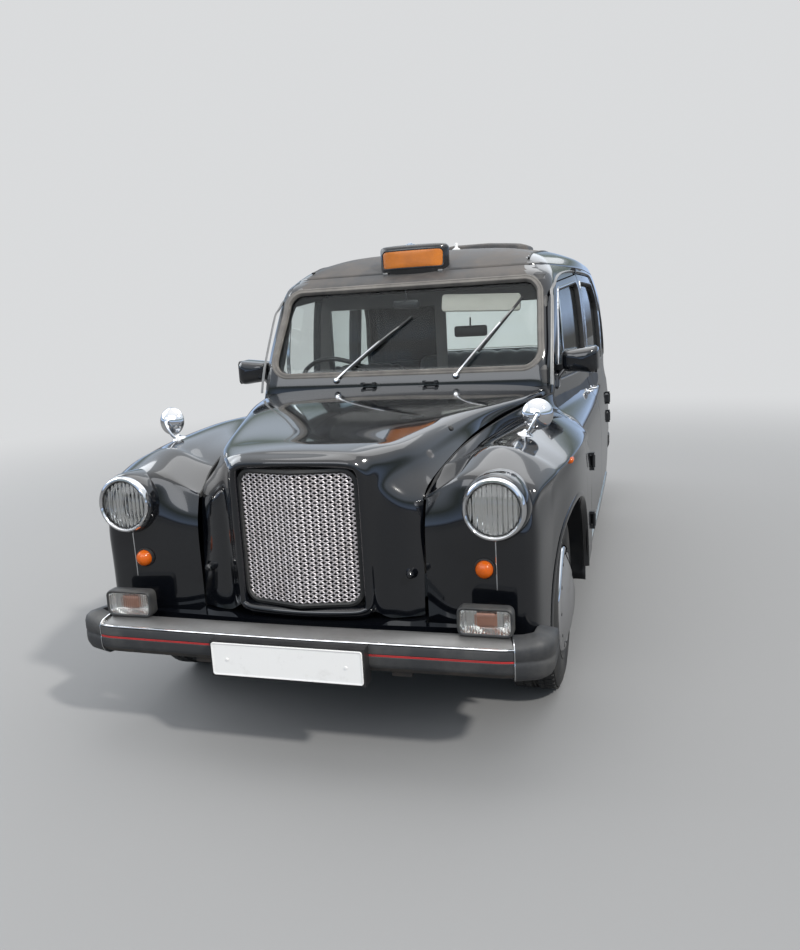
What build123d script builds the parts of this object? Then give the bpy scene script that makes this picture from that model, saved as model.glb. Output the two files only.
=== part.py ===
from build123d import *
import os
from math import atan2, degrees, sqrt, tan

# A black taxi cab, in millimetres.
# Row frame: +X is the car's left, +Y is its rear, +Z is up, and the ground is Z = 0.
# A station is a distance behind the face of the front number plate.

# Overall sizes
overall_length = 4580
wheelbase = 2810
front_axle_station = 800
track = 1422

# Wheels and tyres
tyre_diameter = 686
tyre_width = 178
rim_diameter = 412
rim_width = 146
hub_bore_radius = 22.3
hub_clearance = 0.3
kingpin_x = 650
kingpin_radius = 14

# Body walls and gaps
wall = 45
roof_wall = 34
glass_thickness = 6
glass_set_back = 16
shut_gap = 6
seat_gap = 0.3
belt_height = 1050
body_floor_height = 330

# Doors
front_door_station = 1480
centre_post_station = 2400
rear_door_station = 3296
door_foot_height = 385
hinge_x = 877
hinge_pin_radius = 4
hinge_barrel_radius = 8
door_end_wall = 60
door_edge_lean = 5
front_hinge_heights = (450, 720)
rear_hinge_heights = (690, 810)
hinge_length = 56
hinge_lug = 12
hinge_strap_x = 826

# Bonnet
bonnet_rear_station = 1434
bonnet_flange = 26
bonnet_tail_flange = 6
bonnet_skin = 24
bonnet_hinge_height = 1128
bonnet_hinge_station = 1430
bonnet_hinge_foot = 1096
scuttle_lug_foot = 1122

# Grille
grille_half_width = 209
grille_foot = 512
grille_top = 945
surround_half_width = 250
surround_foot = 461
surround_top = 1006
grille_fold_station = 138
grille_side_station = 192
grille_columns = 11
grille_rows = 19
grille_strand = 3.5
grille_edge_strip = 10

# Wheel arches
front_arch_radius = 400
front_arch_mouth_radius = 388
rear_arch_radius = 400
rear_arch_mouth_height = 600
wheel_house_x = 575
wheel_house_top = 780
rear_wing_tail = 4190
rear_wing_crest = 905
wing_wall_x = 382
post_depth = 56
post_x = 676

# Boot lid
boot_half_width = 470
boot_foot = 575
boot_top = 1008
boot_hinge_station = 4118
boot_hinge_height = 1014
lid_hinge_radius = 8

# Lamps
headlamp_x = 652
headlamp_height = 837
headlamp_station = 180
headlamp_diameter = 205
indicator_x = 612
indicator_height = 635
indicator_diameter = 64
fog_lamp_x = 625
fog_lamp_height = 503
fog_lamp_width = 172
fog_lamp_tall = 100

# Bumpers and plates
bumper_foot = 318
bumper_shelf = 472
bumper_face_foot = 345
bumper_face_top = 430
bumper_depth = 62
bumper_seam_x = 720
plate_width = 520
plate_height = 111
plate_centre_height = 366
plate_thickness = 5
# columns: x, station of the bumper's face
BUMPER_PLAN = ((-846, 262), (-846, 104), (-700, 62), (0, 50), (700, 62), (846, 104), (846, 262))

# Chassis
rail_inner_x = 320
rail_outer_x = 385
rail_foot = 300
rail_top = 380
rail_end_station = overall_length - 65
floor_top = 396
rear_floor_top = 560
jack_pad_radius = 30
jack_pad_depth = 8
jack_pad_stations = (1560, 2960)
kingpin_foot = 252
kingpin_head = 428
spindle_end_x = 772
axle_radius = 45
gearbox_rear_station = 1424
exhaust_height = 235
driver_x = -422
steering_rim_radius = 205

# Derived places
rear_axle_station = front_axle_station + wheelbase
wheel_radius = tyre_diameter / 2
wheel_x = track / 2


def back(station):
    """The row's Y for a distance behind the front number plate's face."""
    return station - overall_length / 2


# Body sections at each height: stations and half widths of the plan outline.
# columns: height, front station, front corner radius, half width at the front,
# at the middle, at the rear side, at the tail, tail station
TUB_SECTIONS = (
    (330, 1440, 20, 850, 858, 850, 705, 4420),
    (500, 1440, 20, 864, 867, 861, 730, 4450),
    (680, 1440, 20, 864, 868, 860, 728, 4420),
    (842, 1440, 20, 846, 864, 856, 704, 4330),
    (900, 1440, 20, 826, 858, 850, 688, 4275),
    (940, 1440, 20, 790, 848, 846, 672, 4225),
    (975, 1440, 20, 728, 834, 838, 656, 4175),
    (1050, 1440, 20, 698, 818, 828, 620, 4070),
)
CAB_SECTIONS = (
    (1050, 1440, 20, 698, 818, 828, 620, 4070),
    (1110, 1444, 50, 697, 817, 827, 614, 4040),
    (1163, 1456, 60, 695, 815, 826, 606, 4010),
    (1475, 1641, 70, 684, 789, 798, 564, 3855),
    (1590, 1710, 90, 664, 766, 770, 530, 3795),
    (1637, 1786, 120, 632, 752, 754, 505, 3755),
)
ROOF_SECTIONS = (
    (1637, 1786, 120, 632, 752, 754, 505, 3755),
    (1682, 1866, 150, 582, 731, 730, 466, 3690),
    (1716, 1955, 170, 505, 668, 664, 400, 3610),
    (1744, 2060, 170, 400, 576, 570, 312, 3490),
    (1762, 2210, 120, 240, 400, 396, 200, 3270),
)
mid_station = 2600
rear_side_station = 3720
windscreen_bow = 12
tail_bow = 60
# Share of the shorter side that each arc of an outline takes, from the nose round to the nose
ARC_SHARES = (0.6, 0.1, 0.3, 0.4, 0.45, 0.45, 0.45, 0.4, 0.3, 0.1)


def turn_radius(before, corner, after, share):
    """The arc that takes up a share of the shorter side beside a corner."""
    ahead = (corner[0] - before[0], corner[1] - before[1])
    behind = (after[0] - corner[0], after[1] - corner[1])
    shorter = min(sqrt(ahead[0] ** 2 + ahead[1] ** 2), sqrt(behind[0] ** 2 + behind[1] ** 2))
    turn = atan2(ahead[0] * behind[1] - ahead[1] * behind[0], ahead[0] * behind[0] + ahead[1] * behind[1])
    return share * shorter / tan(abs(turn) / 2)


def shared_arcs(points, shares):
    """A closed outline whose corners are arcs, each with its share of its shorter side."""
    count = len(points)
    radii = []
    for index in range(count):
        before, after = points[index - 1], points[(index + 1) % count]
        radii.append(turn_radius(before, points[index], after, shares[index]))
    return make_face(FilletPolyline(*points, radius=radii, close=True))


def crosswise(station):
    """The plane across the car at a station, with X to the car's left and Y up."""
    return Plane(origin=(0, back(station), 0), x_dir=(1, 0, 0), z_dir=(0, -1, 0))


def body_outline(section, inset):
    """A closed plan outline of the body at one height, made of lines and arcs."""
    height, front, front_radius, x_front, x_mid, x_rear, x_tail, tail = section
    half = [
        (x_front - inset, back(front + windscreen_bow) + inset),
        (x_mid - inset, back(mid_station)),
        (x_rear - inset, back(rear_side_station)),
        (x_tail - inset * 0.6, back(tail - tail_bow) - inset),
    ]
    nose = (0, back(front) + inset)
    stern = (0, back(tail) - inset)
    points = [nose] + half + [stern] + [(-x, y) for x, y in reversed(half)]
    count = len(points)
    radii = []
    for index in range(count):
        before, after = points[index - 1], points[(index + 1) % count]
        radii.append(turn_radius(before, points[index], after, ARC_SHARES[index]))
    radii[1] = radii[-1] = front_radius
    return Pos(0, 0, height) * make_face(FilletPolyline(*points, radius=radii, close=True))


def body_loft(sections, inset=0, drop=0):
    """The body's bulk through some sections, moved in and down to make its inner face."""
    faces = [Pos(0, 0, -drop) * body_outline(section, inset) for section in sections]
    return loft(faces, ruled=True)


# Helpers for plain forms
def across(points, x_low, x_high, radii=None):
    """A side-view outline of (station, height) points, extruded across the car."""
    flat = [(back(station), height) for station, height in points]
    if radii:
        face = make_face(FilletPolyline(*flat, radius=radii, close=True))
    else:
        face = make_face(Polyline(*flat, close=True))
    return extrude(Plane.YZ.offset(x_low) * face, x_high - x_low)


def along(points, station_low, station_high, radii=None):
    """A front-view outline of (x, height) points, extruded along the car."""
    if radii:
        face = make_face(FilletPolyline(*points, radius=radii, close=True))
    else:
        face = make_face(Polyline(*points, close=True))
    plane = Plane(origin=(0, back(station_high), 0), x_dir=(1, 0, 0), z_dir=(0, -1, 0))
    return extrude(plane * face, station_high - station_low)


def upright(points, z_low, z_high, radii=None):
    """A plan outline of (x, station) points, extruded upwards."""
    flat = [(x, back(station)) for x, station in points]
    if radii:
        face = make_face(FilletPolyline(*flat, radius=radii, close=True))
    else:
        face = make_face(Polyline(*flat, close=True))
    return extrude(Pos(0, 0, z_low) * face, z_high - z_low)


def slab(x_low, x_high, station_low, station_high, z_low, z_high):
    centre = ((x_low + x_high) / 2, back((station_low + station_high) / 2), (z_low + z_high) / 2)
    return Pos(*centre) * Box(x_high - x_low, station_high - station_low, z_high - z_low)


def rod_x(radius, x_low, x_high, station, height):
    place = Pos((x_low + x_high) / 2, back(station), height) * Rot(0, 90, 0)
    return place * Cylinder(radius, x_high - x_low)


def rod_y(radius, station_low, station_high, x, height):
    place = Pos(x, back((station_low + station_high) / 2), height) * Rot(90, 0, 0)
    return place * Cylinder(radius, station_high - station_low)


def rod_z(radius, z_low, z_high, x, station):
    return Pos(x, back(station), (z_low + z_high) / 2) * Cylinder(radius, z_high - z_low)


def other_side(shape):
    return mirror(shape, about=Plane.YZ)


def both(shape):
    return [shape, other_side(shape)]


def joined(shapes):
    total = shapes[0]
    for shape in shapes[1:]:
        total = total + shape
    return total


def grouped(shapes):
    solids = []
    for shape in shapes:
        solids.extend(shape.solids())
    return Compound(children=solids)


# Openings in the body, as side-view or front-view outlines
FRONT_DOOR = (
    (front_door_station, door_foot_height),
    (front_door_station, belt_height - 15),
    (1548, 1100),
    (1746, 1478),
    (1806, 1546),
    (centre_post_station - shut_gap / 2 - door_edge_lean, 1600),
    (centre_post_station - shut_gap / 2, door_foot_height),
)
FRONT_DOOR_RADII = (20, 25, 40, 300, 60, 20, 20)
REAR_DOOR = (
    (centre_post_station + shut_gap / 2, door_foot_height),
    (centre_post_station + shut_gap / 2 + door_edge_lean, 1602),
    (3100, 1602),
    (rear_door_station, 1470),
    (rear_door_station, door_foot_height),
)
REAR_DOOR_RADII = (26, 20, 160, 120, 24)
FRONT_WINDOW = ((1612, 1112), (1780, 1440), (1836, 1512), (2340, 1556), (2340, 1112))
FRONT_WINDOW_RADII = (30, 200, 40, 35, 30)
REAR_WINDOW = ((2458, 1112), (2458, 1558), (3080, 1556), (3236, 1446), (3236, 1112))
REAR_WINDOW_RADII = (30, 35, 110, 90, 30)
QUARTER_WINDOW = ((3362, 1120), (3362, 1462), (3470, 1440), (3560, 1340), (3606, 1120))
QUARTER_WINDOW_RADII = (25, 30, 60, 90, 30)
WINDSCREEN = ((-648, 1180), (-620, 1571), (620, 1571), (648, 1180))
WINDSCREEN_RADII = (75, 70, 70, 75)
BACK_WINDOW = ((-440, 1185), (-405, 1500), (405, 1500), (440, 1185))
BACK_WINDOW_RADII = (70, 80, 80, 70)
BOOT = ((-boot_half_width, boot_foot), (-boot_half_width, boot_top),
        (boot_half_width, boot_top), (boot_half_width, boot_foot))
BOOT_RADII = (60, 90, 90, 60)


def grown(prism_maker, points, radii, low, high, amount):
    """The same outline with its sides moved out by an amount, or in if it is negative."""
    solid = prism_maker(points, low, high, radii)
    if amount == 0:
        return solid
    face = solid.faces().sort_by(Axis.X if prism_maker is across else Axis.Y)[0]
    flat = offset(face, amount=amount, kind=Kind.ARC)
    direction = (1, 0, 0) if prism_maker is across else (0, 1, 0)
    return extrude(flat, amount=high - low, dir=direction)


outer_body = body_loft(TUB_SECTIONS) + body_loft(CAB_SECTIONS)
inner_body = body_loft(TUB_SECTIONS, wall) + body_loft(CAB_SECTIONS, wall)
body_wall = outer_body - inner_body
pieces = {}

# Roof
roof_outer = body_loft(ROOF_SECTIONS)
roof_inner = body_loft(ROOF_SECTIONS, wall, roof_wall)
pieces["roof_panel"] = roof_outer - roof_inner

# Doors
door_side = across(FRONT_DOOR, 0, 1000, FRONT_DOOR_RADII)
rear_door_side = across(REAR_DOOR, 0, 1000, REAR_DOOR_RADII)
rear_arch_cut = rod_x(rear_arch_radius + 46, 0, 1000, rear_axle_station, wheel_radius)


def hinge_barrels(heights, station, towards):
    """Barrels on the door edge, with a strap that reaches into the door's edge."""
    parts = []
    for height in heights:
        top = height + hinge_length
        low, high = sorted((station + towards * 4, station + towards * 46))
        strap = slab(hinge_strap_x, hinge_x, low, high, height + 4, top - 4)
        barrel = rod_z(hinge_barrel_radius, height, top, hinge_x, station) + strap
        parts.append(barrel - rod_z(hinge_pin_radius + seat_gap, height - 1, top + 1, hinge_x, station))
    return joined(parts)


def hinge_pins(heights, station, towards):
    """Pins between two lugs that stand on the body beside the door's edge."""
    parts = []
    for height in heights:
        top = height + hinge_length
        pin = rod_z(hinge_pin_radius, height - hinge_lug, top + hinge_lug, hinge_x, station)
        for low in (height - hinge_lug, top + seat_gap):
            high = low + hinge_lug - seat_gap
            foot = sorted((station - towards * 6, station - towards * 16))
            head = sorted((station - towards * 16, station + towards * 5))
            pin = pin + slab(hinge_strap_x, hinge_x + hinge_pin_radius, *foot, low, high)
            pin = pin + slab(868, hinge_x + hinge_pin_radius, *head, low, high)
        parts.append(pin)
    return joined(parts)


front_hinge_station = front_door_station + 1
rear_hinge_station = rear_door_station + 3
door_core = inner_body + Pos(0, -door_end_wall, 0) * inner_body
front_door = (outer_body & door_side) - door_core - across(FRONT_WINDOW, 0, 1000, FRONT_WINDOW_RADII)
front_door = front_door + hinge_barrels(front_hinge_heights, front_hinge_station, 1)
rear_door = (outer_body & rear_door_side) - inner_body - across(REAR_WINDOW, 0, 1000, REAR_WINDOW_RADII)
rear_door = rear_door - rear_arch_cut
rear_door = rear_door + hinge_barrels(rear_hinge_heights, rear_hinge_station, -1)

# Door mirror on the front corner of the door's window
mirror_arm = upright(((700, 1592), (740, 1576), (740, 1632), (700, 1640)), 1150, 1176)
mirror_case = loft([
    Plane.YZ.offset(735) * Pos(back(1602), 1188) * RectangleRounded(56, 84, 16),
    Plane.YZ.offset(890) * Pos(back(1620), 1192) * RectangleRounded(76, 116, 22),
])
front_door = front_door + mirror_arm + mirror_case
pieces["door_front_left"] = front_door
pieces["door_front_right"] = other_side(front_door)
pieces["door_rear_left"] = rear_door
pieces["door_rear_right"] = other_side(rear_door)

# Glass, set back in its frames
glass_shell = body_loft(CAB_SECTIONS, glass_set_back) - body_loft(CAB_SECTIONS, glass_set_back + glass_thickness)
front_glass = glass_shell & grown(across, FRONT_WINDOW, FRONT_WINDOW_RADII, 0, 1000, -seat_gap)
rear_glass = glass_shell & grown(across, REAR_WINDOW, REAR_WINDOW_RADII, 0, 1000, -seat_gap)
quarter_glass = glass_shell & grown(across, QUARTER_WINDOW, QUARTER_WINDOW_RADII, 0, 1000, -seat_gap)
screen_glass = glass_shell & grown(along, WINDSCREEN, WINDSCREEN_RADII, 1300, 2000, -seat_gap)
back_glass = glass_shell & grown(along, BACK_WINDOW, BACK_WINDOW_RADII, 3700, 4200, -seat_gap)
pieces["door_glass_front_left"] = front_glass
pieces["door_glass_front_right"] = other_side(front_glass)
pieces["door_glass_rear_left"] = rear_glass
pieces["door_glass_rear_right"] = other_side(rear_glass)
pieces["fixed_glass"] = grouped([screen_glass, back_glass] + both(quarter_glass))

# Cab frame, with a post behind the doors' meeting edges
front_hole = grown(across, FRONT_DOOR, FRONT_DOOR_RADII, 0, 1000, shut_gap)
rear_hole = grown(across, REAR_DOOR, REAR_DOOR_RADII, 0, 1000, shut_gap)
tail_station = rear_door_station + shut_gap
shell = body_wall
for hole in both(front_hole) + both(rear_hole):
    shell = shell - hole
# Room round the doors' meeting edges, which move towards each other as a door swings out
door_head = FRONT_DOOR[5][1]
meeting_room = slab(0, 1000, centre_post_station - 34, centre_post_station + 34,
                    door_foot_height, door_head + shut_gap)
for room in both(meeting_room):
    shell = shell - room
shell = shell - along(WINDSCREEN, 1300, 2000, WINDSCREEN_RADII)
cab_frame = shell & slab(-1000, 1000, 1300, tail_station, 300, 1700)
post_space = body_loft(TUB_SECTIONS, wall + shut_gap) + body_loft(CAB_SECTIONS, wall + shut_gap)
post_front = centre_post_station - post_depth / 2
post_rear = centre_post_station + post_depth / 2
centre_post = slab(post_x, 900, post_front, post_rear, floor_top, 1620) & post_space
post_head = slab(post_x, 742, post_front, post_rear, 1602 + shut_gap, 1636)
front_pins = hinge_pins(front_hinge_heights, front_hinge_station, 1)
rail_notch = slab(rail_inner_x - 1, rail_outer_x + 1, 1400, 1520, rail_foot, rail_top)

# Rear wings, with a wheel house on the inner side
wing_zone = slab(0, 1000, tail_station, rear_wing_tail, body_floor_height, rear_wing_crest)
wing_zone = wing_zone + rod_x(rear_arch_radius + 40, 0, 1000, rear_axle_station, wheel_radius)
wing_zone = wing_zone & slab(0, 1000, 3000, rear_wing_tail, body_floor_height, rear_wing_crest)
wheel_house = slab(wheel_house_x, 1000, 3000, rear_wing_tail, body_floor_height, wheel_house_top)
rear_wing = (body_wall & wing_zone) + (outer_body & wing_zone & wheel_house)
for cut in both(wing_zone) + both(rail_notch):
    cab_frame = cab_frame - cut
pieces["cab_frame"] = joined([cab_frame] + both(centre_post + post_head) + both(front_pins))
cavity_x = wheel_house_x + 14
rear_wing = rear_wing - rod_x(rear_arch_radius, cavity_x, 836, rear_axle_station, wheel_radius)
mouth = rod_x(rear_arch_radius - 12, cavity_x, 1000, rear_axle_station, wheel_radius)
mouth = mouth & slab(0, 1000, 3000, 4300, 0, rear_arch_mouth_height)
rear_wing = rear_wing - mouth - slab(wheel_house_x - 1, cavity_x + 1, 3540, 3680, 300, 560)
rear_pins = hinge_pins(rear_hinge_heights, rear_hinge_station, -1)
pieces["rear_wings"] = grouped(both(rear_wing + rear_pins))

# Tail shell and boot lid
tail_part = slab(-1000, 1000, tail_station, 4700, 300, 1700)
tail_shell = shell & tail_part
tail_shell = tail_shell - along(BACK_WINDOW, 3700, 4200, BACK_WINDOW_RADII)
for cut in both(across(QUARTER_WINDOW, 0, 1000, QUARTER_WINDOW_RADII)) + both(wing_zone):
    tail_shell = tail_shell - cut
boot_lid = tail_shell & along(BOOT, 3900, 4600, BOOT_RADII)
tail_shell = tail_shell - grown(along, BOOT, BOOT_RADII, 3900, 4600, shut_gap)
tail_notch = slab(rail_inner_x - 1, rail_outer_x + 1, 4200, 4500, 358, 442)
for cut in both(tail_notch):
    tail_shell = tail_shell - cut
pieces["tail_shell"] = tail_shell


def crosswise_hinge(centres, station, height):
    """Knuckles and pins of a lid that is hinged on a line across the car."""
    knuckles, pins = [], []
    for x in centres:
        knuckle = rod_x(lid_hinge_radius, x - 20, x + 20, station, height)
        bore = rod_x(hinge_pin_radius + seat_gap, x - 30, x + 30, station, height)
        knuckles.append((knuckle, bore))
        pins.append(rod_x(hinge_pin_radius, x - 34, x + 34, station, height))
    return knuckles, pins


# Boot lid hinge, on the outer face at the lid's top edge
boot_knuckles, boot_pins = crosswise_hinge((-300, 300), boot_hinge_station, boot_hinge_height)
for knuckle, bore in boot_knuckles:
    box = knuckle.bounding_box()
    strap = slab(box.min.X, box.max.X, boot_hinge_station - 33, boot_hinge_station + 4,
                 boot_hinge_height - 30, boot_hinge_height - 4)
    boot_lid = boot_lid + strap + knuckle - bore
pieces["boot_lid"] = boot_lid
for pin in boot_pins:
    box = pin.bounding_box()
    for low in (box.min.X, box.max.X - 12):
        pin = pin + slab(low, low + 12, boot_hinge_station - 40, boot_hinge_station + 4,
                         boot_hinge_height + 1, boot_hinge_height + 30)
    pieces["tail_shell"] = pieces["tail_shell"] + pin

# Front wings. Columns: station, outer half width and its height, shoulder x and height,
# crest x and height, bonnet line x and height
WING_SECTIONS = (
    (204, 726, 770, 712, 880, 600, 925, 500, 850),
    (245, 765, 770, 752, 900, 610, 950, 432, 850),
    (300, 790, 770, 776, 915, 622, 970, 411, 846),
    (430, 822, 770, 797, 925, 642, 988, 433, 912),
    (660, 860, 790, 832, 932, 674, 998, 473, 965),
    (1000, 866, 800, 840, 936, 715, 1006, 548, 1008),
    (1250, 867, 812, 842, 936, 736, 1002, 625, 1034),
    (1457, 866, 815, 834, 932, 728, 980, 696, 1061),
)
wing_foot = 345
wing_inner_x = 411
WING_SHARES = (0.02, 0.02, 0.3, 0.45, 0.45, 0.1, 0.2, 0.1)


def wing_section(row):
    station, x_side, z_side, x_shoulder, z_shoulder, x_crest, z_crest, x_gap, z_gap = row
    x_gap = max(x_gap, wing_inner_x) + shut_gap / 2
    points = [
        (wing_inner_x - 1, wing_foot),
        (x_side, wing_foot),
        (x_side, z_side),
        (x_shoulder, z_shoulder),
        (x_crest, z_crest),
        (x_gap, z_gap),
        (x_gap - 2, z_gap - 45),
        (wing_inner_x - 2, z_gap - 110),
    ]
    return crosswise(station) * shared_arcs(points, WING_SHARES)


wing = loft([wing_section(row) for row in WING_SECTIONS], ruled=True)
wing = wing + slab(wing_wall_x, wing_inner_x + 4, 352, 1330, 460, 790)
wing = wing - rod_x(front_arch_radius, wing_wall_x + 10, 840, front_axle_station, wheel_radius)
wing = wing - rod_x(front_arch_mouth_radius, 800, 1000, front_axle_station, wheel_radius)
headlamp_pod = rod_y(headlamp_diameter / 2 + 8, headlamp_station + 14, 330, headlamp_x, headlamp_height)
wing = wing + headlamp_pod - outer_body
pieces["front_wings"] = grouped(both(wing))

# Bonnet. Columns: station, edge x and height, shoulder x and height, crown height
BONNET_SECTIONS = (
    (178, 250, 800, 244, 996, 1006),
    (206, 262, 800, 256, 1002, 1012),
    (238, 345, 820, 286, 1000, 1018),
    (285, 405, 850, 305, 1006, 1026),
    (450, 427, 914, 352, 1028, 1046),
    (800, 498, 986, 452, 1054, 1080),
    (1200, 605, 1030, 590, 1072, 1104),
    (bonnet_rear_station, 682, 1060, 664, 1090, 1114),
)
bonnet_foot = 458
BONNET_SHARES = (0.02, 0.4, 0.45, 0.5, 0.45, 0.4, 0.02)


def bonnet_section(row, inset=0):
    station, x_edge, z_edge, x_shoulder, z_shoulder, z_crown = row
    x_edge = x_edge - shut_gap / 2
    half = [
        (x_edge - inset, bonnet_foot if inset == 0 else bonnet_foot - 60),
        (x_edge - inset, z_edge),
        (x_shoulder - inset, z_shoulder - inset * 0.6),
    ]
    points = half + [(0, z_crown - inset)] + [(-x, z) for x, z in reversed(half)]
    return crosswise(station) * shared_arcs(points, BONNET_SHARES)


bonnet_outer = loft([bonnet_section(row) for row in BONNET_SECTIONS], ruled=True)
bonnet_inner = loft([bonnet_section(row, bonnet_skin) for row in BONNET_SECTIONS], ruled=True)
bonnet = bonnet_outer - Pos(0, bonnet_skin, 0) * bonnet_inner
flank_rows = [row for row in BONNET_SECTIONS if row[0] > 400]
flank_cut = [(row[0], row[2] - bonnet_flange) for row in flank_rows[:-1]]
flank_end = flank_rows[-1][2] - bonnet_tail_flange
flank_cut = [(330, 0), (330, 830)] + flank_cut + [(bonnet_rear_station, flank_end), (1500, flank_end), (1500, 0)]
bonnet = bonnet - across(flank_cut, -1000, 1000)

# Grille: a raised surround on the bonnet's nose, with a folded mesh inside it
SURROUND = ((-surround_half_width, surround_foot), (-surround_half_width + 6, surround_top),
            (surround_half_width - 6, surround_top), (surround_half_width, surround_foot))
SURROUND_RADII = (60, 70, 70, 60)
mesh_edge = grille_half_width + seat_gap
MESH = ((-mesh_edge, grille_foot), (-mesh_edge, grille_top), (mesh_edge, grille_top), (mesh_edge, grille_foot))
MESH_RADII = (42, 42, 42, 42)
surround_plan = ((-260, 180), (0, 150), (260, 180), (260, 224), (-260, 224))
surround = along(SURROUND, 120, 240, SURROUND_RADII) & upright(surround_plan, 400, 1100)
mesh_hole = along(MESH, 100, 340, MESH_RADII)
nose_dome = Pos(366, back(254), 604) * Sphere(18)
bonnet = joined([bonnet, surround] + both(nose_dome)) - mesh_hole
bonnet_knuckles, bonnet_pins = crosswise_hinge((-150, 150), bonnet_hinge_station, bonnet_hinge_height)
for knuckle, bore in bonnet_knuckles:
    box = knuckle.bounding_box()
    strap = slab(box.min.X, box.max.X, bonnet_hinge_station - 30, bonnet_hinge_station - 2,
                 bonnet_hinge_foot, bonnet_hinge_height)
    bonnet = bonnet + strap + knuckle - bore
for pin in bonnet_pins:
    box = pin.bounding_box()
    for low in (box.min.X, box.max.X - 12):
        pin = pin + slab(low, low + 12, bonnet_hinge_station - 4, bonnet_hinge_station + 34,
                         scuttle_lug_foot, bonnet_hinge_height + 6)
    pieces["cab_frame"] = pieces["cab_frame"] + pin
pieces["bonnet"] = bonnet

mesh_side = ((0, grille_fold_station), (grille_half_width, grille_side_station),
             (grille_half_width, grille_side_station + 8), (0, grille_fold_station + 8))
mesh_sheet = upright(mesh_side, grille_foot, grille_top)
mesh_sheet = (mesh_sheet + other_side(mesh_sheet)) & grown(along, MESH, MESH_RADII, 100, 340, -seat_gap)
column_step = 2 * grille_half_width / grille_columns
row_step = (grille_top - grille_foot) / (grille_rows + 1)
opening_x = column_step / 2 - grille_strand * 0.8
opening_z = row_step - grille_strand
openings = []
for row in range(1, grille_rows + 1):
    height = grille_foot + row * row_step
    near_end = min(height - grille_foot, grille_top - height) < 2.5 * row_step
    reach = grille_half_width - opening_x - grille_edge_strip * (3 if near_end else 1)
    for column in range(-grille_columns // 2, grille_columns // 2 + 2):
        x = (column + row % 2 / 2) * column_step
        tall_enough = min(height - grille_foot, grille_top - height) > opening_z + grille_edge_strip / 2
        if abs(x) <= reach and tall_enough:
            openings.append(along(((x - opening_x, height), (x, height + opening_z), (x + opening_x, height),
                                   (x, height - opening_z)), 100, 300))
pieces["grille_mesh"] = mesh_sheet.cut(*openings)

# Apron under the bonnet, behind the bumper
apron_plan = ((-690, 201), (-520, 172), (0, 142), (520, 172), (690, 201), (409, 203), (409, 300),
              (-409, 300), (-409, 203))
apron = upright(apron_plan, wing_foot, 450)
for cut in both(slab(rail_inner_x, rail_outer_x, 100, 400, rail_foot, rail_top)):
    apron = apron - cut
pieces["front_apron"] = apron

# Bumpers
bumper_path = FilletPolyline(*[(x, back(station)) for x, station in BUMPER_PLAN],
                             radius=[110, 300, 8000, 300, 110])


def bumper_sweep(section):
    start = BUMPER_PLAN[0]
    plane = Plane(origin=(start[0], back(start[1]), 0), x_dir=(-1, 0, 0), z_dir=(0, 1, 0))
    return sweep(plane * make_face(Polyline(*section, close=True)), path=bumper_path)


bar_section = ((0, bumper_face_foot), (0, bumper_face_top), (-8, 436), (-52, bumper_shelf),
               (-bumper_depth, bumper_shelf), (-bumper_depth, 332), (-14, 332))
end_section = ((6, 350), (6, 438), (-8, 462), (-40, 480), (-bumper_depth, 480), (-bumper_depth, 322),
               (-20, 314), (-4, 326))
front_bar = bumper_sweep(bar_section) & slab(-bumper_seam_x, bumper_seam_x, 0, 400, 200, 600)
end_caps = bumper_sweep(end_section) - slab(-bumper_seam_x, bumper_seam_x, 0, 400, 200, 600)
rear_shift = Pos(0, overall_length / 2 + front_bar.bounding_box().min.Y, 0)
rear_bar = rear_shift * mirror(front_bar, about=Plane.XZ)
rear_caps = rear_shift * mirror(end_caps, about=Plane.XZ)
pieces["front_bumper"] = front_bar
pieces["rear_bumper"] = rear_bar
pieces["bumper_ends"] = grouped([end_caps, rear_caps])

# Front plate on its plinth
plate_foot = plate_centre_height - plate_height / 2
plate_head = plate_centre_height + plate_height / 2
plinth = slab(-plate_width / 2 - 6, plate_width / 2 + 6, plate_thickness, 58, plate_foot - 6, plate_head + 6)
pieces["plate_plinth"] = plinth - front_bar
pieces["front_plate"] = slab(-plate_width / 2, plate_width / 2, 0, plate_thickness, plate_foot, plate_head)

# Lamps
def turned_y(profile, x, station, height):
    """A profile of (radius, station offset) points turned about a line along the car."""
    face = make_face(Polyline(*[(radius, offset) for radius, offset in profile], close=True))
    return Pos(x, back(station), height) * revolve(face, Axis.Y)


headlamp_radius = headlamp_diameter / 2
headlamp_profile = ((0, -22), (40, -18), (70, -8), (88, 0), (94, -6), (headlamp_radius, 0),
                    (headlamp_radius, 14), (0, 14))
headlamp = turned_y(headlamp_profile, headlamp_x, headlamp_station, headlamp_height)
pieces["headlamps"] = grouped(both(headlamp))
wing_face_station = WING_SECTIONS[0][0]
indicator_radius = indicator_diameter / 2
indicator_profile = ((0, -24), (14, -22), (25, -15), (indicator_radius, -6), (indicator_radius, 0), (0, 0))
indicator = turned_y(indicator_profile, indicator_x, wing_face_station, indicator_height)
fog_box = slab(-fog_lamp_width / 2, fog_lamp_width / 2, 132, 176, -fog_lamp_tall / 2, fog_lamp_tall / 2)
fog_box = fillet(fog_box.edges().filter_by(Axis.Y), 18)
fog_stem = slab(-30, 30, 176, wing_face_station, -20, 20)
fog_lamp = Pos(fog_lamp_x, 0, fog_lamp_height) * (fog_box + fog_stem)
repeater = slab(800, 862, 610, 652, 894, 912) - wing
repeater = repeater.solids().sort_by(Axis.X)[-1]
pieces["front_lamps"] = grouped(both(indicator) + both(fog_lamp) + both(repeater))
lamp_zone = along(((520, 600), (640, 600), (640, 770), (520, 770)), 3900, 4600, (30, 30, 30, 30))
tail_lamp = (body_loft(TUB_SECTIONS, -22) & lamp_zone) - outer_body
pieces["tail_lamps"] = grouped(both(tail_lamp))

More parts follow.
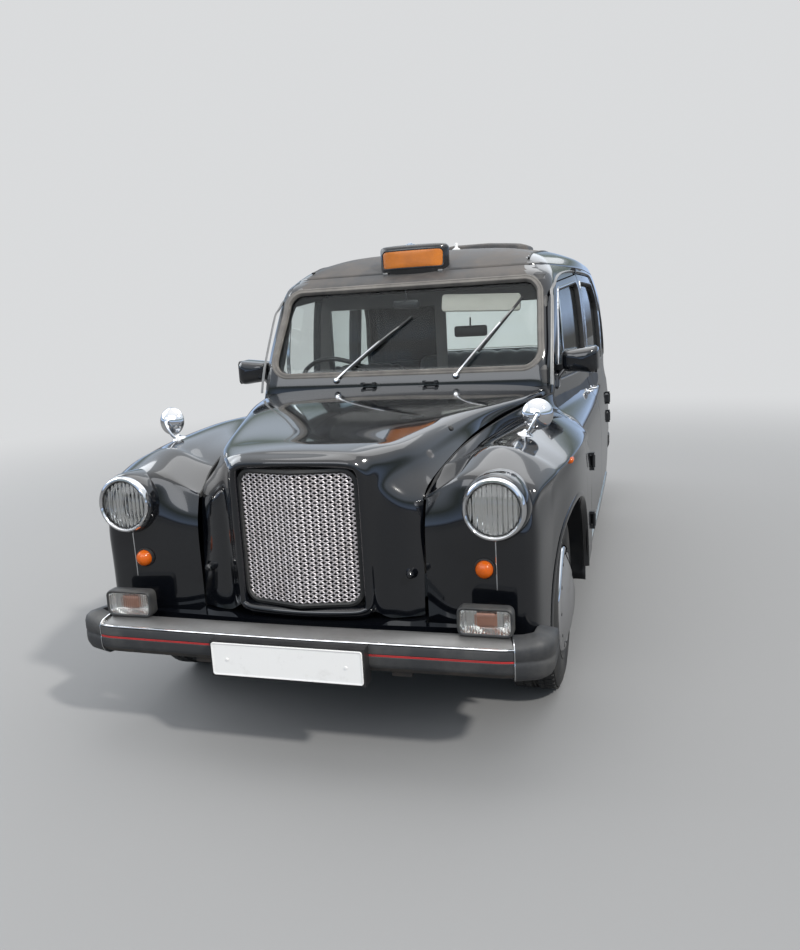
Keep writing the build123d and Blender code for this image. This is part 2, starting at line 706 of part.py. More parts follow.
# Sign on the roof
sign_outline = ((-170, 1640), (-172, 1752), (-120, 1785), (120, 1785), (172, 1752), (170, 1640))
sign = along(sign_outline, 1772, 1900, (10, 40, 30, 30, 40, 10))
pieces["taxi_sign"] = (sign - roof_outer - outer_body).solids().sort_by(Axis.Z)[-1]


def bar(start, end, radius):
    """A round bar between two (x, station, height) points."""
    first = Vector(start[0], back(start[1]), start[2])
    run = Vector(end[0], back(end[1]), end[2]) - first
    return extrude(Plane(origin=first, z_dir=run) * Circle(radius), run.length)


# Round mirrors on the wings
mirror_back = turned_y(((0, -14), (30, -11), (48, -2), (55, 8), (55, 14), (0, 14)), 733, 655, 1072)
mirror_stalk = bar((733, 662, 1050), (690, 650, 960), 7)
wing_mirror = (mirror_back + mirror_stalk + rod_z(16, 950, 1003, 690, 650)) - wing
pieces["wing_mirrors"] = grouped(both(wing_mirror.solids().sort_by(Axis.Z)[-1]))

# Wipers
def screen_station(height, set_back):
    low, high = CAB_SECTIONS[2], CAB_SECTIONS[3]
    share = (height - low[0]) / (high[0] - low[0])
    return low[1] + share * (high[1] - low[1]) + set_back


def wiper(pivot_x, blade_start, blade_end):
    pivot = (pivot_x, screen_station(1150, -4), 1150)
    start = (blade_start[0], screen_station(blade_start[1], -2), blade_start[1])
    end = (blade_end[0], screen_station(blade_end[1], -2), blade_end[1])
    middle = tuple((a + b) / 2 for a, b in zip(start, end))
    elbow = (middle[0], middle[1] - 14, middle[2])
    spindle_foot = (pivot_x, pivot[1] - 14, pivot[2] + 8)
    spindle = bar(spindle_foot, (pivot_x, pivot[1] + 12, pivot[2] - 6), 9)
    whole = joined([bar(start, end, 5), bar(spindle_foot, elbow, 4), bar(elbow, middle, 4), spindle])
    return whole - outer_body


pieces["wipers"] = grouped([wiper(-311, (-248, 1205), (27, 1425)), wiper(270, (380, 1262), (540, 1480))])

# Floor
floor = slab(-900, 900, 1440, 3120, rail_top, floor_top) & inner_body
riser = slab(-900, 900, 3105, 3120, floor_top, rear_floor_top) & inner_body
rear_floor = slab(-900, 900, 3105, 4600, rear_floor_top - 15, rear_floor_top) & inner_body
boot_wall = slab(-900, 900, 3730, 3745, rear_floor_top, 1050) & inner_body
floor = floor + riser + rear_floor + boot_wall
sill = slab(720, 900, 1455, 3140, body_floor_height, rail_top) & inner_body
floor = joined([floor] + both(sill))
for cut in both(slab(wheel_house_x, 1000, 3160, rear_wing_tail, 300, rear_wing_crest)):
    floor = floor - cut
pieces["floor_pan"] = floor

# Chassis
rail_side = ((110, rail_foot), (110, rail_top), (3130, rail_top), (3330, rail_top + 150), (4050, rail_top + 150),
             (4200, 440), (rail_end_station, 440), (rail_end_station, 360), (4180, 360), (4020, rail_top + 70),
             (3330, rail_top + 70), (3110, rail_foot))
rail = across(rail_side, rail_inner_x, rail_outer_x)
hanger_front = slab(rail_outer_x, 455, 2990, 3030, rail_foot, rail_top)
hanger_rear = slab(rail_outer_x, 455, 4190, 4230, 330, 440)
cross_members = [
    slab(-rail_inner_x, rail_inner_x, 336, 396, rail_foot, rail_top),
    slab(-rail_inner_x, rail_inner_x, 1670, 1730, 335, rail_top),
    slab(-rail_inner_x, rail_inner_x, 3340, 3400, rail_top + 80, rail_top + 150),
    slab(-rail_inner_x, rail_inner_x, 4300, 4350, 360, 440),
]
jack_pads = [rod_z(jack_pad_radius, rail_foot - jack_pad_depth, rail_foot, (rail_inner_x + rail_outer_x) / 2, station)
             for station in jack_pad_stations]
chassis = joined(both(joined([rail, hanger_front, hanger_rear] + jack_pads)) + cross_members)
pieces["chassis_frame"] = chassis - front_bar - rear_bar
pieces["fuel_tank"] = slab(-290, 290, 3800, 4260, 350, rear_floor_top - 15)
pieces["radiator"] = slab(-280, 280, 340, 392, rail_top, 900)

# Engine, gearbox and drive shaft
engine = slab(-160, 160, 460, 1180, rail_foot, 860) + slab(-90, 90, 1180, gearbox_rear_station, 228, 326)
pieces["engine"] = engine

# Front axle: beam, towers, wishbones and kingpins
arm_plan = ((392, 735), (392, 865), (560, 832), (678, 818), (678, 782), (560, 768))
low_arm = upright(arm_plan, 232, kingpin_foot)
high_arm = upright(arm_plan, kingpin_head, 446)
tower = slab(rail_outer_x + 2, 420, 760, 840, 216, 446)
kingpin = rod_z(kingpin_radius, 232, 446, kingpin_x, front_axle_station)
beam = slab(-420, 420, 740, 860, 216, rail_foot)
pieces["front_axle"] = joined([beam] + both(low_arm + high_arm + tower + kingpin))

# Steering knuckles
barrel = rod_z(27, kingpin_foot + seat_gap, kingpin_head - seat_gap, kingpin_x, front_axle_station)
spindle = rod_x(hub_bore_radius - hub_clearance, kingpin_x, spindle_end_x, front_axle_station, wheel_radius)
back_plate = rod_x(125, 684, 696, front_axle_station, wheel_radius)
steering_arm = slab(628, 650, front_axle_station, 950, 284, 304)
knuckle = barrel + spindle + back_plate + steering_arm
knuckle = knuckle - rod_z(kingpin_radius + seat_gap, 200, 500, kingpin_x, front_axle_station)
pieces["knuckle_left"] = knuckle
pieces["knuckle_right"] = other_side(knuckle)

# Rear axle on leaf springs
axle_profile = ((-684, 0), (-684, axle_radius), (-180, axle_radius), (-110, 96), (-50, 132), (50, 132), (110, 96),
                (180, axle_radius), (684, axle_radius), (684, 0))
axle_place = Pos(0, back(rear_axle_station), wheel_radius)
axle_casing = axle_place * revolve(make_face(Polyline(*axle_profile, close=True)), Axis.X)
axle_spindle = rod_x(hub_bore_radius - hub_clearance, 690, spindle_end_x, rear_axle_station, wheel_radius)
axle_plate = rod_x(125, 684, 696, rear_axle_station, wheel_radius)
spring_low = wheel_radius - axle_radius - 30
spring_line = ((3030, 335), (3030, 355), (3300, 315), (rear_axle_station, wheel_radius - axle_radius + 6),
               (3920, 330), (4190, 372), (4190, 352), (3920, 308), (rear_axle_station, spring_low), (3300, 292))
spring = across(spring_line, 400, 452)
pieces["rear_axle"] = joined([axle_casing] + both(axle_spindle + axle_plate + spring))
shaft_start = (0, gearbox_rear_station + 1, 277)
shaft_end = (0, rear_axle_station - 110, wheel_radius)
pieces["drive_shaft"] = bar(shaft_start, shaft_end, 32) - axle_casing

# Wheels: a rim with a domed trim, and a tyre
def turned_x(profile, side, station):
    """A profile of (offset outwards, radius) points turned about the wheel's axle."""
    solid = revolve(make_face(Polyline(*profile, close=True)), Axis.X)
    solid = Pos(wheel_x, back(station), wheel_radius) * solid
    return solid if side > 0 else other_side(solid)


rim_radius = rim_diameter / 2
half_rim = rim_width / 2
RIM_PROFILE = (
    (-half_rim, rim_radius - 16), (-half_rim, rim_radius - seat_gap), (half_rim, rim_radius - seat_gap),
    (half_rim + 12, rim_radius - 34), (half_rim + 8, rim_radius - 76), (half_rim + 15, 84),
    (half_rim + 12, 0), (66, 0), (66, hub_bore_radius), (-8, hub_bore_radius), (-8, 60), (30, rim_radius - 24),
)
TYRE_PROFILE = (
    (-half_rim, rim_radius), (-tyre_width / 2, 268), (-tyre_width / 2 + 8, 324), (-tyre_width / 2 + 26, wheel_radius),
    (tyre_width / 2 - 26, wheel_radius), (tyre_width / 2 - 8, 324), (tyre_width / 2, 268), (half_rim, rim_radius),
)
for end, station in (("front", front_axle_station), ("rear", rear_axle_station)):
    for side_name, side in (("left", 1), ("right", -1)):
        pieces[f"rim_{end}_{side_name}"] = turned_x(RIM_PROFILE, side, station)
        pieces[f"tyre_{end}_{side_name}"] = turned_x(TYRE_PROFILE, side, station)

# Exhaust
exhaust_pipe = rod_y(22, 1130, overall_length - 80, 200, exhaust_height)
silencer = rod_y(70, 2450, 2900, 200, exhaust_height)
hangers = [slab(190, 340, station, station + 20, exhaust_height, rail_foot) for station in (1900, 2660)]
pieces["exhaust"] = joined([exhaust_pipe, silencer] + hangers)

# Cabin
dash_side = ((1470, 860), (1470, 1112), (1560, 1140), (1680, 1100), (1700, 1000), (1640, 880))
pieces["dashboard"] = across(dash_side, -900, 900) & inner_body
column_foot = (driver_x, 1640, 960)
wheel_hub = (driver_x, 1790, 1070)
tilt = degrees(atan2(wheel_hub[2] - column_foot[2], wheel_hub[1] - column_foot[1]))
rim_place = Pos(driver_x, back(wheel_hub[1]), wheel_hub[2]) * Rot(-90 + tilt, 0, 0)
ring = rim_place * revolve(Plane.XZ * Pos(steering_rim_radius, 0) * RegularPolygon(14, 8), Axis.Z)
spokes = [rim_place * Rot(0, 0, turn) * Pos(steering_rim_radius / 2, 0, 0) * Box(steering_rim_radius, 26, 10)
          for turn in (0, 180, 270)]
hub = rim_place * Cylinder(40, 36)
column = bar(column_foot, wheel_hub, 22)
pieces["steering_wheel"] = joined([ring, hub, column] + spokes) - pieces["dashboard"]
driver_base = slab(-630, -220, 1900, 2280, floor_top, 560)
driver_cushion = fillet(slab(-640, -210, 1880, 2300, 560, 690).edges().filter_by(Axis.Z), 40)
driver_back = fillet(slab(-640, -210, 2210, 2300, 690, 1170).edges().filter_by(Axis.Y), 60)
pieces["driver_seat"] = driver_base + driver_cushion + driver_back
bench_cushion = slab(-560, 560, 3125, 3600, rear_floor_top, 730)
bench_back = slab(-560, 560, 3600, 3728, rear_floor_top, 1180)
pieces["rear_bench"] = bench_cushion + bench_back
divider = slab(-900, 900, 2330, 2350, floor_top, 1560) & inner_body
for side_pane in both(slab(30, 660, 2300, 2400, 1050, 1480)):
    divider = divider - side_pane
pane = slab(30 + seat_gap, 660 - seat_gap, 2337, 2343, 1050 + seat_gap, 1480 - seat_gap)
pieces["partition"] = divider
pieces["fixed_glass"] = grouped([pieces["fixed_glass"]] + both(pane))

os.makedirs("parts", exist_ok=True)
for name, shape in pieces.items():
    export_step(shape, f"parts/{name}.step")
    print(name, round(shape.volume / 1e6, 2), shape.is_valid, len(shape.solids()))
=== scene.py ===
from math import atan2, cos, hypot, pi, radians, sin, sqrt, tan

import bmesh
import bpy
import numpy as np
from mathutils import Matrix, Vector
from mathutils.geometry import delaunay_2d_cdt


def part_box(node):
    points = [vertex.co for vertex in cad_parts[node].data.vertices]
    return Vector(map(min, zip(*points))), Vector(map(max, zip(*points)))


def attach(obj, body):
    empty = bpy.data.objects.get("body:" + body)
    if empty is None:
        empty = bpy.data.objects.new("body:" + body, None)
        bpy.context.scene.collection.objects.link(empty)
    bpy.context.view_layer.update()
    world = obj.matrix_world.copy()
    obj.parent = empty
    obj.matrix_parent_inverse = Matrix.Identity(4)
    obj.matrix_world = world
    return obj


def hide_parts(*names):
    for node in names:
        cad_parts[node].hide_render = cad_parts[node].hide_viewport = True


# A black taxi cab. Sizes are in millimetres as (x, station, height), where a station is the distance
# behind the face of the front number plate, and become metres in the frame when a mesh is made.
MM = 0.001
overall_length = 4580

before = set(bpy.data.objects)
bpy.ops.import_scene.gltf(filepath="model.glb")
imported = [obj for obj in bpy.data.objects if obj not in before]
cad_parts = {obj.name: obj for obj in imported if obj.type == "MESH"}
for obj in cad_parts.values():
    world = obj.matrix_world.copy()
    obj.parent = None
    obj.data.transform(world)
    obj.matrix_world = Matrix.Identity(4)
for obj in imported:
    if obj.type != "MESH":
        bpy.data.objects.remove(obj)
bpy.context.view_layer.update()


def placed(points):
    """Points (x, station, height) in millimetres as rows in the frame, in metres."""
    points = np.asarray(points, float)
    return (points - (0, overall_length / 2, 0)) * MM


# Finishes

def linked(nodes, links, kind, inputs=None, **settings):
    node = nodes.new(kind)
    for key, value in settings.items():
        setattr(node, key, value)
    for key, value in (inputs or {}).items():
        if isinstance(value, bpy.types.NodeSocket):
            links.new(value, node.inputs[key])
        else:
            node.inputs[key].default_value = value
    return node


def new_group(name, inputs, output):
    """A node group with float inputs, one float output and its own object coordinates."""
    tree = bpy.data.node_groups.new(name, "ShaderNodeTree")
    for label, value in inputs:
        socket = tree.interface.new_socket(label, in_out="INPUT", socket_type="NodeSocketFloat")
        socket.default_value = value
    tree.interface.new_socket(output, in_out="OUTPUT", socket_type="NodeSocketFloat")
    entry = tree.nodes.new("NodeGroupInput")
    leave = tree.nodes.new("NodeGroupOutput")
    place = tree.nodes.new("ShaderNodeTexCoord")
    return tree, entry, leave, place.outputs["Object"]


def grime_group():
    """Cloudy patches from 0 to 1, as dust and stains lie."""
    tree, entry, leave, place = new_group("Grime", (("Scale", 4.0), ("Low", 0.45), ("High", 0.75)), "Mask")
    noise = linked(tree.nodes, tree.links, "ShaderNodeTexNoise",
                   {"Vector": place, "Scale": entry.outputs["Scale"],
                                                                 "Detail": 9.0, "Roughness": 0.66})
    step = linked(tree.nodes, tree.links, "ShaderNodeMapRange",
                  {"Value": noise.outputs["Fac"], "From Min": entry.outputs["Low"],
                   "From Max": entry.outputs["High"]})
    tree.links.new(step.outputs["Result"], leave.inputs["Mask"])
    return tree


def grain_group():
    """A fine even grain, for moulded and cast surfaces."""
    tree, entry, leave, place = new_group("Grain", (("Scale", 900.0), ("Depth", 1.0)), "Height")
    cells = linked(tree.nodes, tree.links, "ShaderNodeTexVoronoi",
                   {"Vector": place, "Scale": entry.outputs["Scale"]})
    noise = linked(tree.nodes, tree.links, "ShaderNodeTexNoise",
                   {"Vector": place, "Scale": entry.outputs["Scale"],
                                                                 "Detail": 3.0})
    both = linked(tree.nodes, tree.links, "ShaderNodeMath",
                  {0: cells.outputs["Distance"], 1: noise.outputs["Fac"]},
                  operation="ADD")
    deep = linked(tree.nodes, tree.links, "ShaderNodeMath", {0: both.outputs[0], 1: entry.outputs["Depth"]},
                  operation="MULTIPLY")
    tree.links.new(deep.outputs[0], leave.inputs["Height"])
    return tree


def streak_group():
    """Long scratches and polishing marks along one axis."""
    tree, entry, leave, place = new_group("Streaks", (("Scale", 40.0), ("Stretch", 0.04)), "Mask")
    axes = linked(tree.nodes, tree.links, "ShaderNodeCombineXYZ",
                  {"X": entry.outputs["Stretch"], "Y": 1.0, "Z": 1.0})
    along = linked(tree.nodes, tree.links, "ShaderNodeVectorMath", {0: place, 1: axes.outputs["Vector"]},
                   operation="MULTIPLY")
    noise = linked(tree.nodes, tree.links, "ShaderNodeTexNoise", {"Vector": along.outputs["Vector"],
                                                                 "Scale": entry.outputs["Scale"],
                                                                 "Detail": 6.0})
    tree.links.new(noise.outputs["Fac"], leave.inputs["Mask"])
    return tree


GRIME = grime_group()
GRAIN = grain_group()
STREAKS = streak_group()


def finish(name, clean, dirty, rough, rough_dirty=None, metallic=0.0, grime=(4.0, 0.5, 0.8), grain=None,
           streaks=None, coat=0.0, coat_rough=0.03, transmission=0.0, ior=1.5, specular=0.5, sheen=0.0,
           emission=None, alpha=1.0):
    """A material whose colour and roughness run from clean to dirty over cloudy patches."""
    material = bpy.data.materials.new(name)
    material.use_nodes = True
    nodes, links = material.node_tree.nodes, material.node_tree.links
    shader = nodes["Principled BSDF"]
    shader.inputs["Metallic"].default_value = metallic
    shader.inputs["IOR"].default_value = ior
    shader.inputs["Coat Weight"].default_value = coat
    shader.inputs["Coat Roughness"].default_value = coat_rough
    shader.inputs["Transmission Weight"].default_value = transmission
    shader.inputs["Specular IOR Level"].default_value = specular
    shader.inputs["Sheen Weight"].default_value = sheen
    shader.inputs["Alpha"].default_value = alpha
    patches = nodes.new("ShaderNodeGroup")
    patches.node_tree = GRIME
    for label, value in zip(("Scale", "Low", "High"), grime):
        patches.inputs[label].default_value = value
    mask = patches.outputs["Mask"]
    if streaks:
        lines = nodes.new("ShaderNodeGroup")
        lines.node_tree = STREAKS
        lines.inputs["Scale"].default_value, lines.inputs["Stretch"].default_value = streaks
        mask = linked(nodes, links, "ShaderNodeMath", {0: mask, 1: lines.outputs["Mask"]},
                      operation="MULTIPLY").outputs[0]
    colour = linked(nodes, links, "ShaderNodeMix", {"Factor": mask}, data_type="RGBA")
    colour.inputs["A"].default_value = (*clean, 1)
    colour.inputs["B"].default_value = (*dirty, 1)
    links.new(colour.outputs["Result"], shader.inputs["Base Color"])
    rough_dirty = rough if rough_dirty is None else rough_dirty
    level = linked(nodes, links, "ShaderNodeMapRange",
                   {"Value": mask, "To Min": rough, "To Max": rough_dirty})
    links.new(level.outputs["Result"], shader.inputs["Roughness"])
    if grain:
        cells = nodes.new("ShaderNodeGroup")
        cells.node_tree = GRAIN
        cells.inputs["Scale"].default_value = grain[0]
        relief = linked(nodes, links, "ShaderNodeBump",
                        {"Height": cells.outputs["Height"], "Strength": grain[1],
                                                         "Distance": 0.0004})
        links.new(relief.outputs["Normal"], shader.inputs["Normal"])
    if emission:
        shader.inputs["Emission Color"].default_value = (*emission[0], 1)
        shader.inputs["Emission Strength"].default_value = emission[1]
    return material


PAINT = finish("gloss_black_paint", (0.0030, 0.0036, 0.0052), (0.0070, 0.0076, 0.0090), 0.10, 0.20,
               grime=(3.0, 0.48, 0.78), coat=1.0, coat_rough=0.02)
ROOF_PAINT = finish("weathered_roof_paint", (0.030, 0.031, 0.033), (0.115, 0.100, 0.088), 0.42, 0.72,
                    grime=(5.0, 0.40, 0.74), grain=(420.0, 0.10), specular=0.45)
INNER_PAINT = finish("inner_panel_paint", (0.014, 0.015, 0.017), (0.035, 0.034, 0.032), 0.45, 0.6)
CHROME = finish("chrome_plate", (0.88, 0.88, 0.89), (0.62, 0.60, 0.56), 0.045, 0.20, metallic=1.0,
                grime=(14.0, 0.58, 0.86))
SATIN_METAL = finish("satin_bumper_metal", (0.22, 0.22, 0.218), (0.12, 0.115, 0.108), 0.34, 0.52,
                     metallic=0.75,
                     grime=(6.0, 0.36, 0.70), streaks=(46.0, 0.06), grain=(700.0, 0.05))
BRIGHT_TRIM = finish("bright_trim", (0.80, 0.81, 0.82), (0.45, 0.45, 0.45), 0.14, 0.32, metallic=1.0,
                     grime=(12.0, 0.5, 0.8))
GRILLE_METAL = finish("expanded_grille_metal", (0.80, 0.74, 0.74), (0.52, 0.47, 0.46), 0.33, 0.5,
                      metallic=0.55,
                      grime=(18.0, 0.46, 0.76))
BUMPER_RUBBER = finish("bumper_rubber", (0.030, 0.031, 0.033), (0.13, 0.125, 0.115), 0.52, 0.72,
                       grime=(7.0, 0.46, 0.80), grain=(600.0, 0.25), streaks=(24.0, 0.15))
BLACK_RUBBER = finish("seal_rubber", (0.014, 0.014, 0.014), (0.05, 0.047, 0.043), 0.55, 0.7,
                      grain=(900.0, 0.2))
SCREEN_RUBBER = finish("aged_screen_rubber", (0.105, 0.098, 0.090), (0.185, 0.172, 0.155), 0.62, 0.75,
                       grime=(11.0, 0.35, 0.7), grain=(700.0, 0.2))
BLACK_PLASTIC = finish("satin_black_plastic", (0.016, 0.016, 0.017), (0.045, 0.044, 0.043), 0.32, 0.5,
                       grain=(1100.0, 0.12))
RED_STRIPE = finish("red_stripe", (0.55, 0.035, 0.035), (0.28, 0.04, 0.04), 0.4, 0.6)
PLATE_WHITE = finish("blank_plate", (0.80, 0.79, 0.77), (0.62, 0.60, 0.57), 0.22, 0.4,
                     grime=(20.0, 0.55, 0.9))
AMBER = finish("amber_lens", (0.72, 0.135, 0.008), (0.55, 0.09, 0.007), 0.12, 0.2, transmission=0.25,
               grime=(30.0, 0.4, 0.8), emission=((1.0, 0.20, 0.008), 0.04))
AMBER_SIGN = finish("amber_sign_lens", (0.60, 0.185, 0.022), (0.36, 0.11, 0.022), 0.25, 0.4,
                    grime=(9.0, 0.35, 0.75), grain=(500.0, 0.08), emission=((1.0, 0.30, 0.02), 0.03))
RED_LENS = finish("red_lens", (0.42, 0.012, 0.012), (0.25, 0.01, 0.01), 0.12, 0.25, transmission=0.2)
GLASS = finish("window_glass", (0.90, 0.94, 0.93), (0.82, 0.86, 0.85), 0.0, 0.04, transmission=1.0, ior=1.30,
               grime=(5.0, 0.5, 0.9))
LAMP_GLASS = finish("lamp_glass", (0.97, 0.98, 0.98), (0.93, 0.94, 0.94), 0.02, 0.05, transmission=1.0,
                    ior=1.35)
REFLECTOR = finish("lamp_reflector", (0.93, 0.92, 0.90), (0.80, 0.78, 0.74), 0.07, 0.16, metallic=1.0,
                   grime=(25.0, 0.4, 0.8))
TYRE_RUBBER = finish("tyre_rubber", (0.018, 0.018, 0.018), (0.060, 0.056, 0.050), 0.68, 0.82,
                     grime=(9.0, 0.42, 0.78), grain=(500.0, 0.2))
CHASSIS = finish("chassis_paint", (0.022, 0.021, 0.020), (0.075, 0.058, 0.045), 0.55, 0.75,
                 grime=(9.0, 0.40, 0.75),
                 grain=(220.0, 0.3))
CAST_METAL = finish("cast_metal", (0.17, 0.165, 0.155), (0.085, 0.065, 0.050), 0.5, 0.7, metallic=0.6,
                    grime=(11.0, 0.35, 0.7), grain=(260.0, 0.4))
STAINED_STEEL = finish("stained_steel", (0.24, 0.22, 0.20), (0.12, 0.075, 0.05), 0.42, 0.66, metallic=0.8,
                       grime=(9.0, 0.35, 0.7))
GLOSS_PLASTIC = finish("gloss_black_plastic", (0.012, 0.012, 0.013), (0.03, 0.03, 0.03), 0.18, 0.32, coat=0.4,
                       coat_rough=0.06, grime=(12.0, 0.45, 0.8))
LAMP_CASE = finish("grey_lamp_case", (0.026, 0.027, 0.028), (0.07, 0.067, 0.062), 0.42, 0.6,
                   grime=(14.0, 0.4, 0.75), grain=(700.0, 0.12))
# A warm metal that colours the middle of each fog lamp's bowl as a painted glow.
PAINTED_WARM_GLOW = finish("warm_reflector", (0.66, 0.34, 0.24), (0.50, 0.24, 0.17), 0.2, 0.35, metallic=0.7)
VINYL = finish("grained_vinyl", (0.032, 0.034, 0.038), (0.058, 0.058, 0.060), 0.42, 0.55, grain=(520.0, 0.35),
               sheen=0.1)
TRIM = finish("grey_cabin_trim", (0.115, 0.115, 0.113), (0.16, 0.155, 0.148), 0.6, 0.7, grain=(800.0, 0.2))
VISOR = finish("cream_visor", (0.60, 0.58, 0.53), (0.48, 0.46, 0.42), 0.6, 0.7, grain=(600.0, 0.2))
CARPET = finish("ribbed_floor", (0.035, 0.035, 0.036), (0.085, 0.078, 0.068), 0.8, 0.9, grain=(300.0, 0.6))
PAPER_LINING = finish("headlining", (0.34, 0.335, 0.32), (0.27, 0.26, 0.245), 0.8, 0.9, grain=(900.0, 0.15))

# Mesh making

def link(name, mesh, material=None):
    if material:
        mesh.materials.append(material)
    piece = bpy.data.objects.new(name, mesh)
    bpy.context.scene.collection.objects.link(piece)
    return piece


def mesh_piece(name, vertices, faces, material, sharp=35, outward=True):
    """A piece from rows in metres. Its doubles are merged and its faces point out."""
    mesh = bpy.data.meshes.new(name)
    mesh.from_pydata([tuple(v) for v in vertices], [], [tuple(int(i) for i in f) for f in faces])
    form = bmesh.new()
    form.from_mesh(mesh)
    bmesh.ops.remove_doubles(form, verts=form.verts, dist=1e-6)
    if outward:
        bmesh.ops.recalc_face_normals(form, faces=form.faces)
    form.to_mesh(mesh)
    form.free()
    mesh.polygons.foreach_set("use_smooth", [True] * len(mesh.polygons))
    if sharp:
        mesh.set_sharp_from_angle(angle=radians(sharp))
    return link(name, mesh, material)


def plain(piece):
    """Applies a piece's modifiers to its mesh."""
    graph = bpy.context.evaluated_depsgraph_get()
    mesh = bpy.data.meshes.new_from_object(piece.evaluated_get(graph))
    piece.modifiers.clear()
    piece.data = mesh
    return piece


def settle(piece, body, slot, *replaced):
    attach(piece, body)
    if replaced:
        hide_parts(*replaced)
    return piece


def merged(name, pieces):
    """One piece from several, each with its own material."""
    mesh = bpy.data.meshes.new(name)
    form = bmesh.new()
    materials = []
    for piece in pieces:
        start = len(form.faces)
        form.from_mesh(piece.data)
        form.faces.ensure_lookup_table()
        own = list(piece.data.materials)
        places = []
        for material in own:
            if material not in materials:
                materials.append(material)
            places.append(materials.index(material))
        for face in form.faces[start:]:
            face.material_index = places[face.material_index]
    form.to_mesh(mesh)
    form.free()
    for material in materials:
        mesh.materials.append(material)
    for piece in pieces:
        bpy.data.objects.remove(piece)
    return link(name, mesh)


def mirrored(piece, name):
    """The same piece on the car's other side."""
    mesh = piece.data.copy()
    mesh.transform(Matrix.Scale(-1, 4, (1, 0, 0)))
    mesh.flip_normals()
    return link(name, mesh)


def both_sides(name, make, *details):
    left = make(name + "_left", *details)
    right = mirrored(left, name + "_right")
    return left, right


def lathe(name, profile, centre, material, axis=(0, 1, 0), steps=64, closed=False, sharp=35):
    """Turns (radius, distance along the axis) points in mm about an axis through a centre."""
    axis = np.asarray(axis, float) / np.linalg.norm(axis)
    side = np.cross(axis, (0.0, 0.0, 1.0) if abs(axis[2]) < 0.9 else (1.0, 0.0, 0.0))
    side /= np.linalg.norm(side)
    up = np.cross(side, axis)
    turns = np.arange(steps) * 2 * pi / steps
    ring = np.outer(np.cos(turns), side) + np.outer(np.sin(turns), up)
    rows = [np.asarray(centre, float) + axis * along + ring * radius for radius, along in profile]
    vertices = placed(np.concatenate(rows))
    faces = []
    spans = range(len(profile) if closed else len(profile) - 1)
    for level in spans:
        below, above = level * steps, (level + 1) % len(profile) * steps
        for turn in range(steps):
            follow = (turn + 1) % steps
            faces.append((below + turn, below + follow, above + follow, above + turn))
    piece = mesh_piece(name, vertices, faces, material, sharp=None)
    form = bmesh.new()
    form.from_mesh(piece.data)
    bmesh.ops.dissolve_degenerate(form, dist=1e-7, edges=form.edges)
    if not closed:
        bmesh.ops.holes_fill(form, edges=[edge for edge in form.edges if edge.is_boundary])
    bmesh.ops.recalc_face_normals(form, faces=form.faces)
    form.to_mesh(piece.data)
    form.free()
    piece.data.polygons.foreach_set("use_smooth", [True] * len(piece.data.polygons))
    piece.data.set_sharp_from_angle(angle=radians(sharp))
    return piece


def frames_along(path, closed, up):
    ahead = np.roll(path, -1, 0) - np.roll(path, 1, 0)
    if not closed:
        ahead[0] = path[1] - path[0]
        ahead[-1] = path[-1] - path[-2]
    ahead /= np.linalg.norm(ahead, axis=1)[:, None]
    if up is not None:
        right = np.cross(ahead, up)
        right /= np.linalg.norm(right, axis=1)[:, None]
        return right, np.cross(right, ahead)
    right = [np.cross(ahead[0], (0.0, 0.0, 1.0) if abs(ahead[0][2]) < 0.9 else (1.0, 0.0, 0.0))]
    for direction in ahead[1:]:
        carried = right[-1] - direction * np.dot(right[-1], direction)
        right.append(carried / np.linalg.norm(carried))
    right[0] = right[0] / np.linalg.norm(right[0])
    right = np.array(right)
    return right, np.cross(right, ahead)


def sweep(name, path, section, material, closed=False, up=(0, 0, 1), sharp=35):
    """A closed section of (right, up) points in mm carried along a path of placed rows."""
    path = np.asarray(path, float)
    right, over = frames_along(path, closed, None if up is None else np.asarray(up, float))
    section = np.asarray(section, float) * MM
    count, size = len(path), len(section)
    vertices = (path[:, None] + right[:, None] * section[None, :, :1] + over[:, None] * section[None, :, 1:])
    vertices = vertices.reshape(-1, 3)
    faces = []
    for place in range(count if closed else count - 1):
        here, there = place * size, (place + 1) % count * size
        for corner in range(size):
            follow = (corner + 1) % size
            faces.append((here + corner, here + follow, there + follow, there + corner))
    if not closed:
        faces.append(tuple(range(size)))
        faces.append(tuple(range((count - 1) * size, count * size)))
    return mesh_piece(name, vertices, faces, material, sharp=sharp)


def circle_section(radius, sides=12, flat=1.0):
    turns = [index * 2 * pi / sides for index in range(sides)]
    return [(radius * cos(turn), radius * flat * sin(turn)) for turn in turns]


def smooth_path(points, per_span=8, closed=False):
    """A smooth path in mm through the given points."""
    points = np.asarray(points, float)
    count = len(points)
    spans = range(count if closed else count - 1)
    rows = []
    for index in spans:
        if closed:
            a, b, c, d = (points[(index + shift) % count] for shift in (-1, 0, 1, 2))
        else:
            a, d = points[max(index - 1, 0)], points[min(index + 2, count - 1)]
            b, c = points[index], points[index + 1]
        for step in range(per_span):
            t = step / per_span
            rows.append(0.5 * (2 * b + (c - a) * t + (2 * a - 5 * b + 4 * c - d) * t ** 2
                               + (3 * b - a - 3 * c + d) * t ** 3))
    if not closed:
        rows.append(points[-1])
    return np.array(rows)


def block(name, low, high, material, round_edge=4, segments=3):
    """A box between two (x, station, height) corners with rounded edges."""
    low, high = placed(low), placed(high)
    mesh = bpy.data.meshes.new(name)
    form = bmesh.new()
    bmesh.ops.create_cube(form, size=1)
    for vertex in form.verts:
        vertex.co = [(a + b) / 2 + part * (b - a) for a, b, part in zip(low, high, vertex.co)]
    bmesh.ops.bevel(form, geom=form.edges, offset=round_edge * MM, segments=segments, profile=0.5,
                    affect="EDGES")
    form.to_mesh(mesh)
    form.free()
    mesh.polygons.foreach_set("use_smooth", [True] * len(mesh.polygons))
    mesh.set_sharp_from_angle(angle=radians(50))
    return link(name, mesh, material)


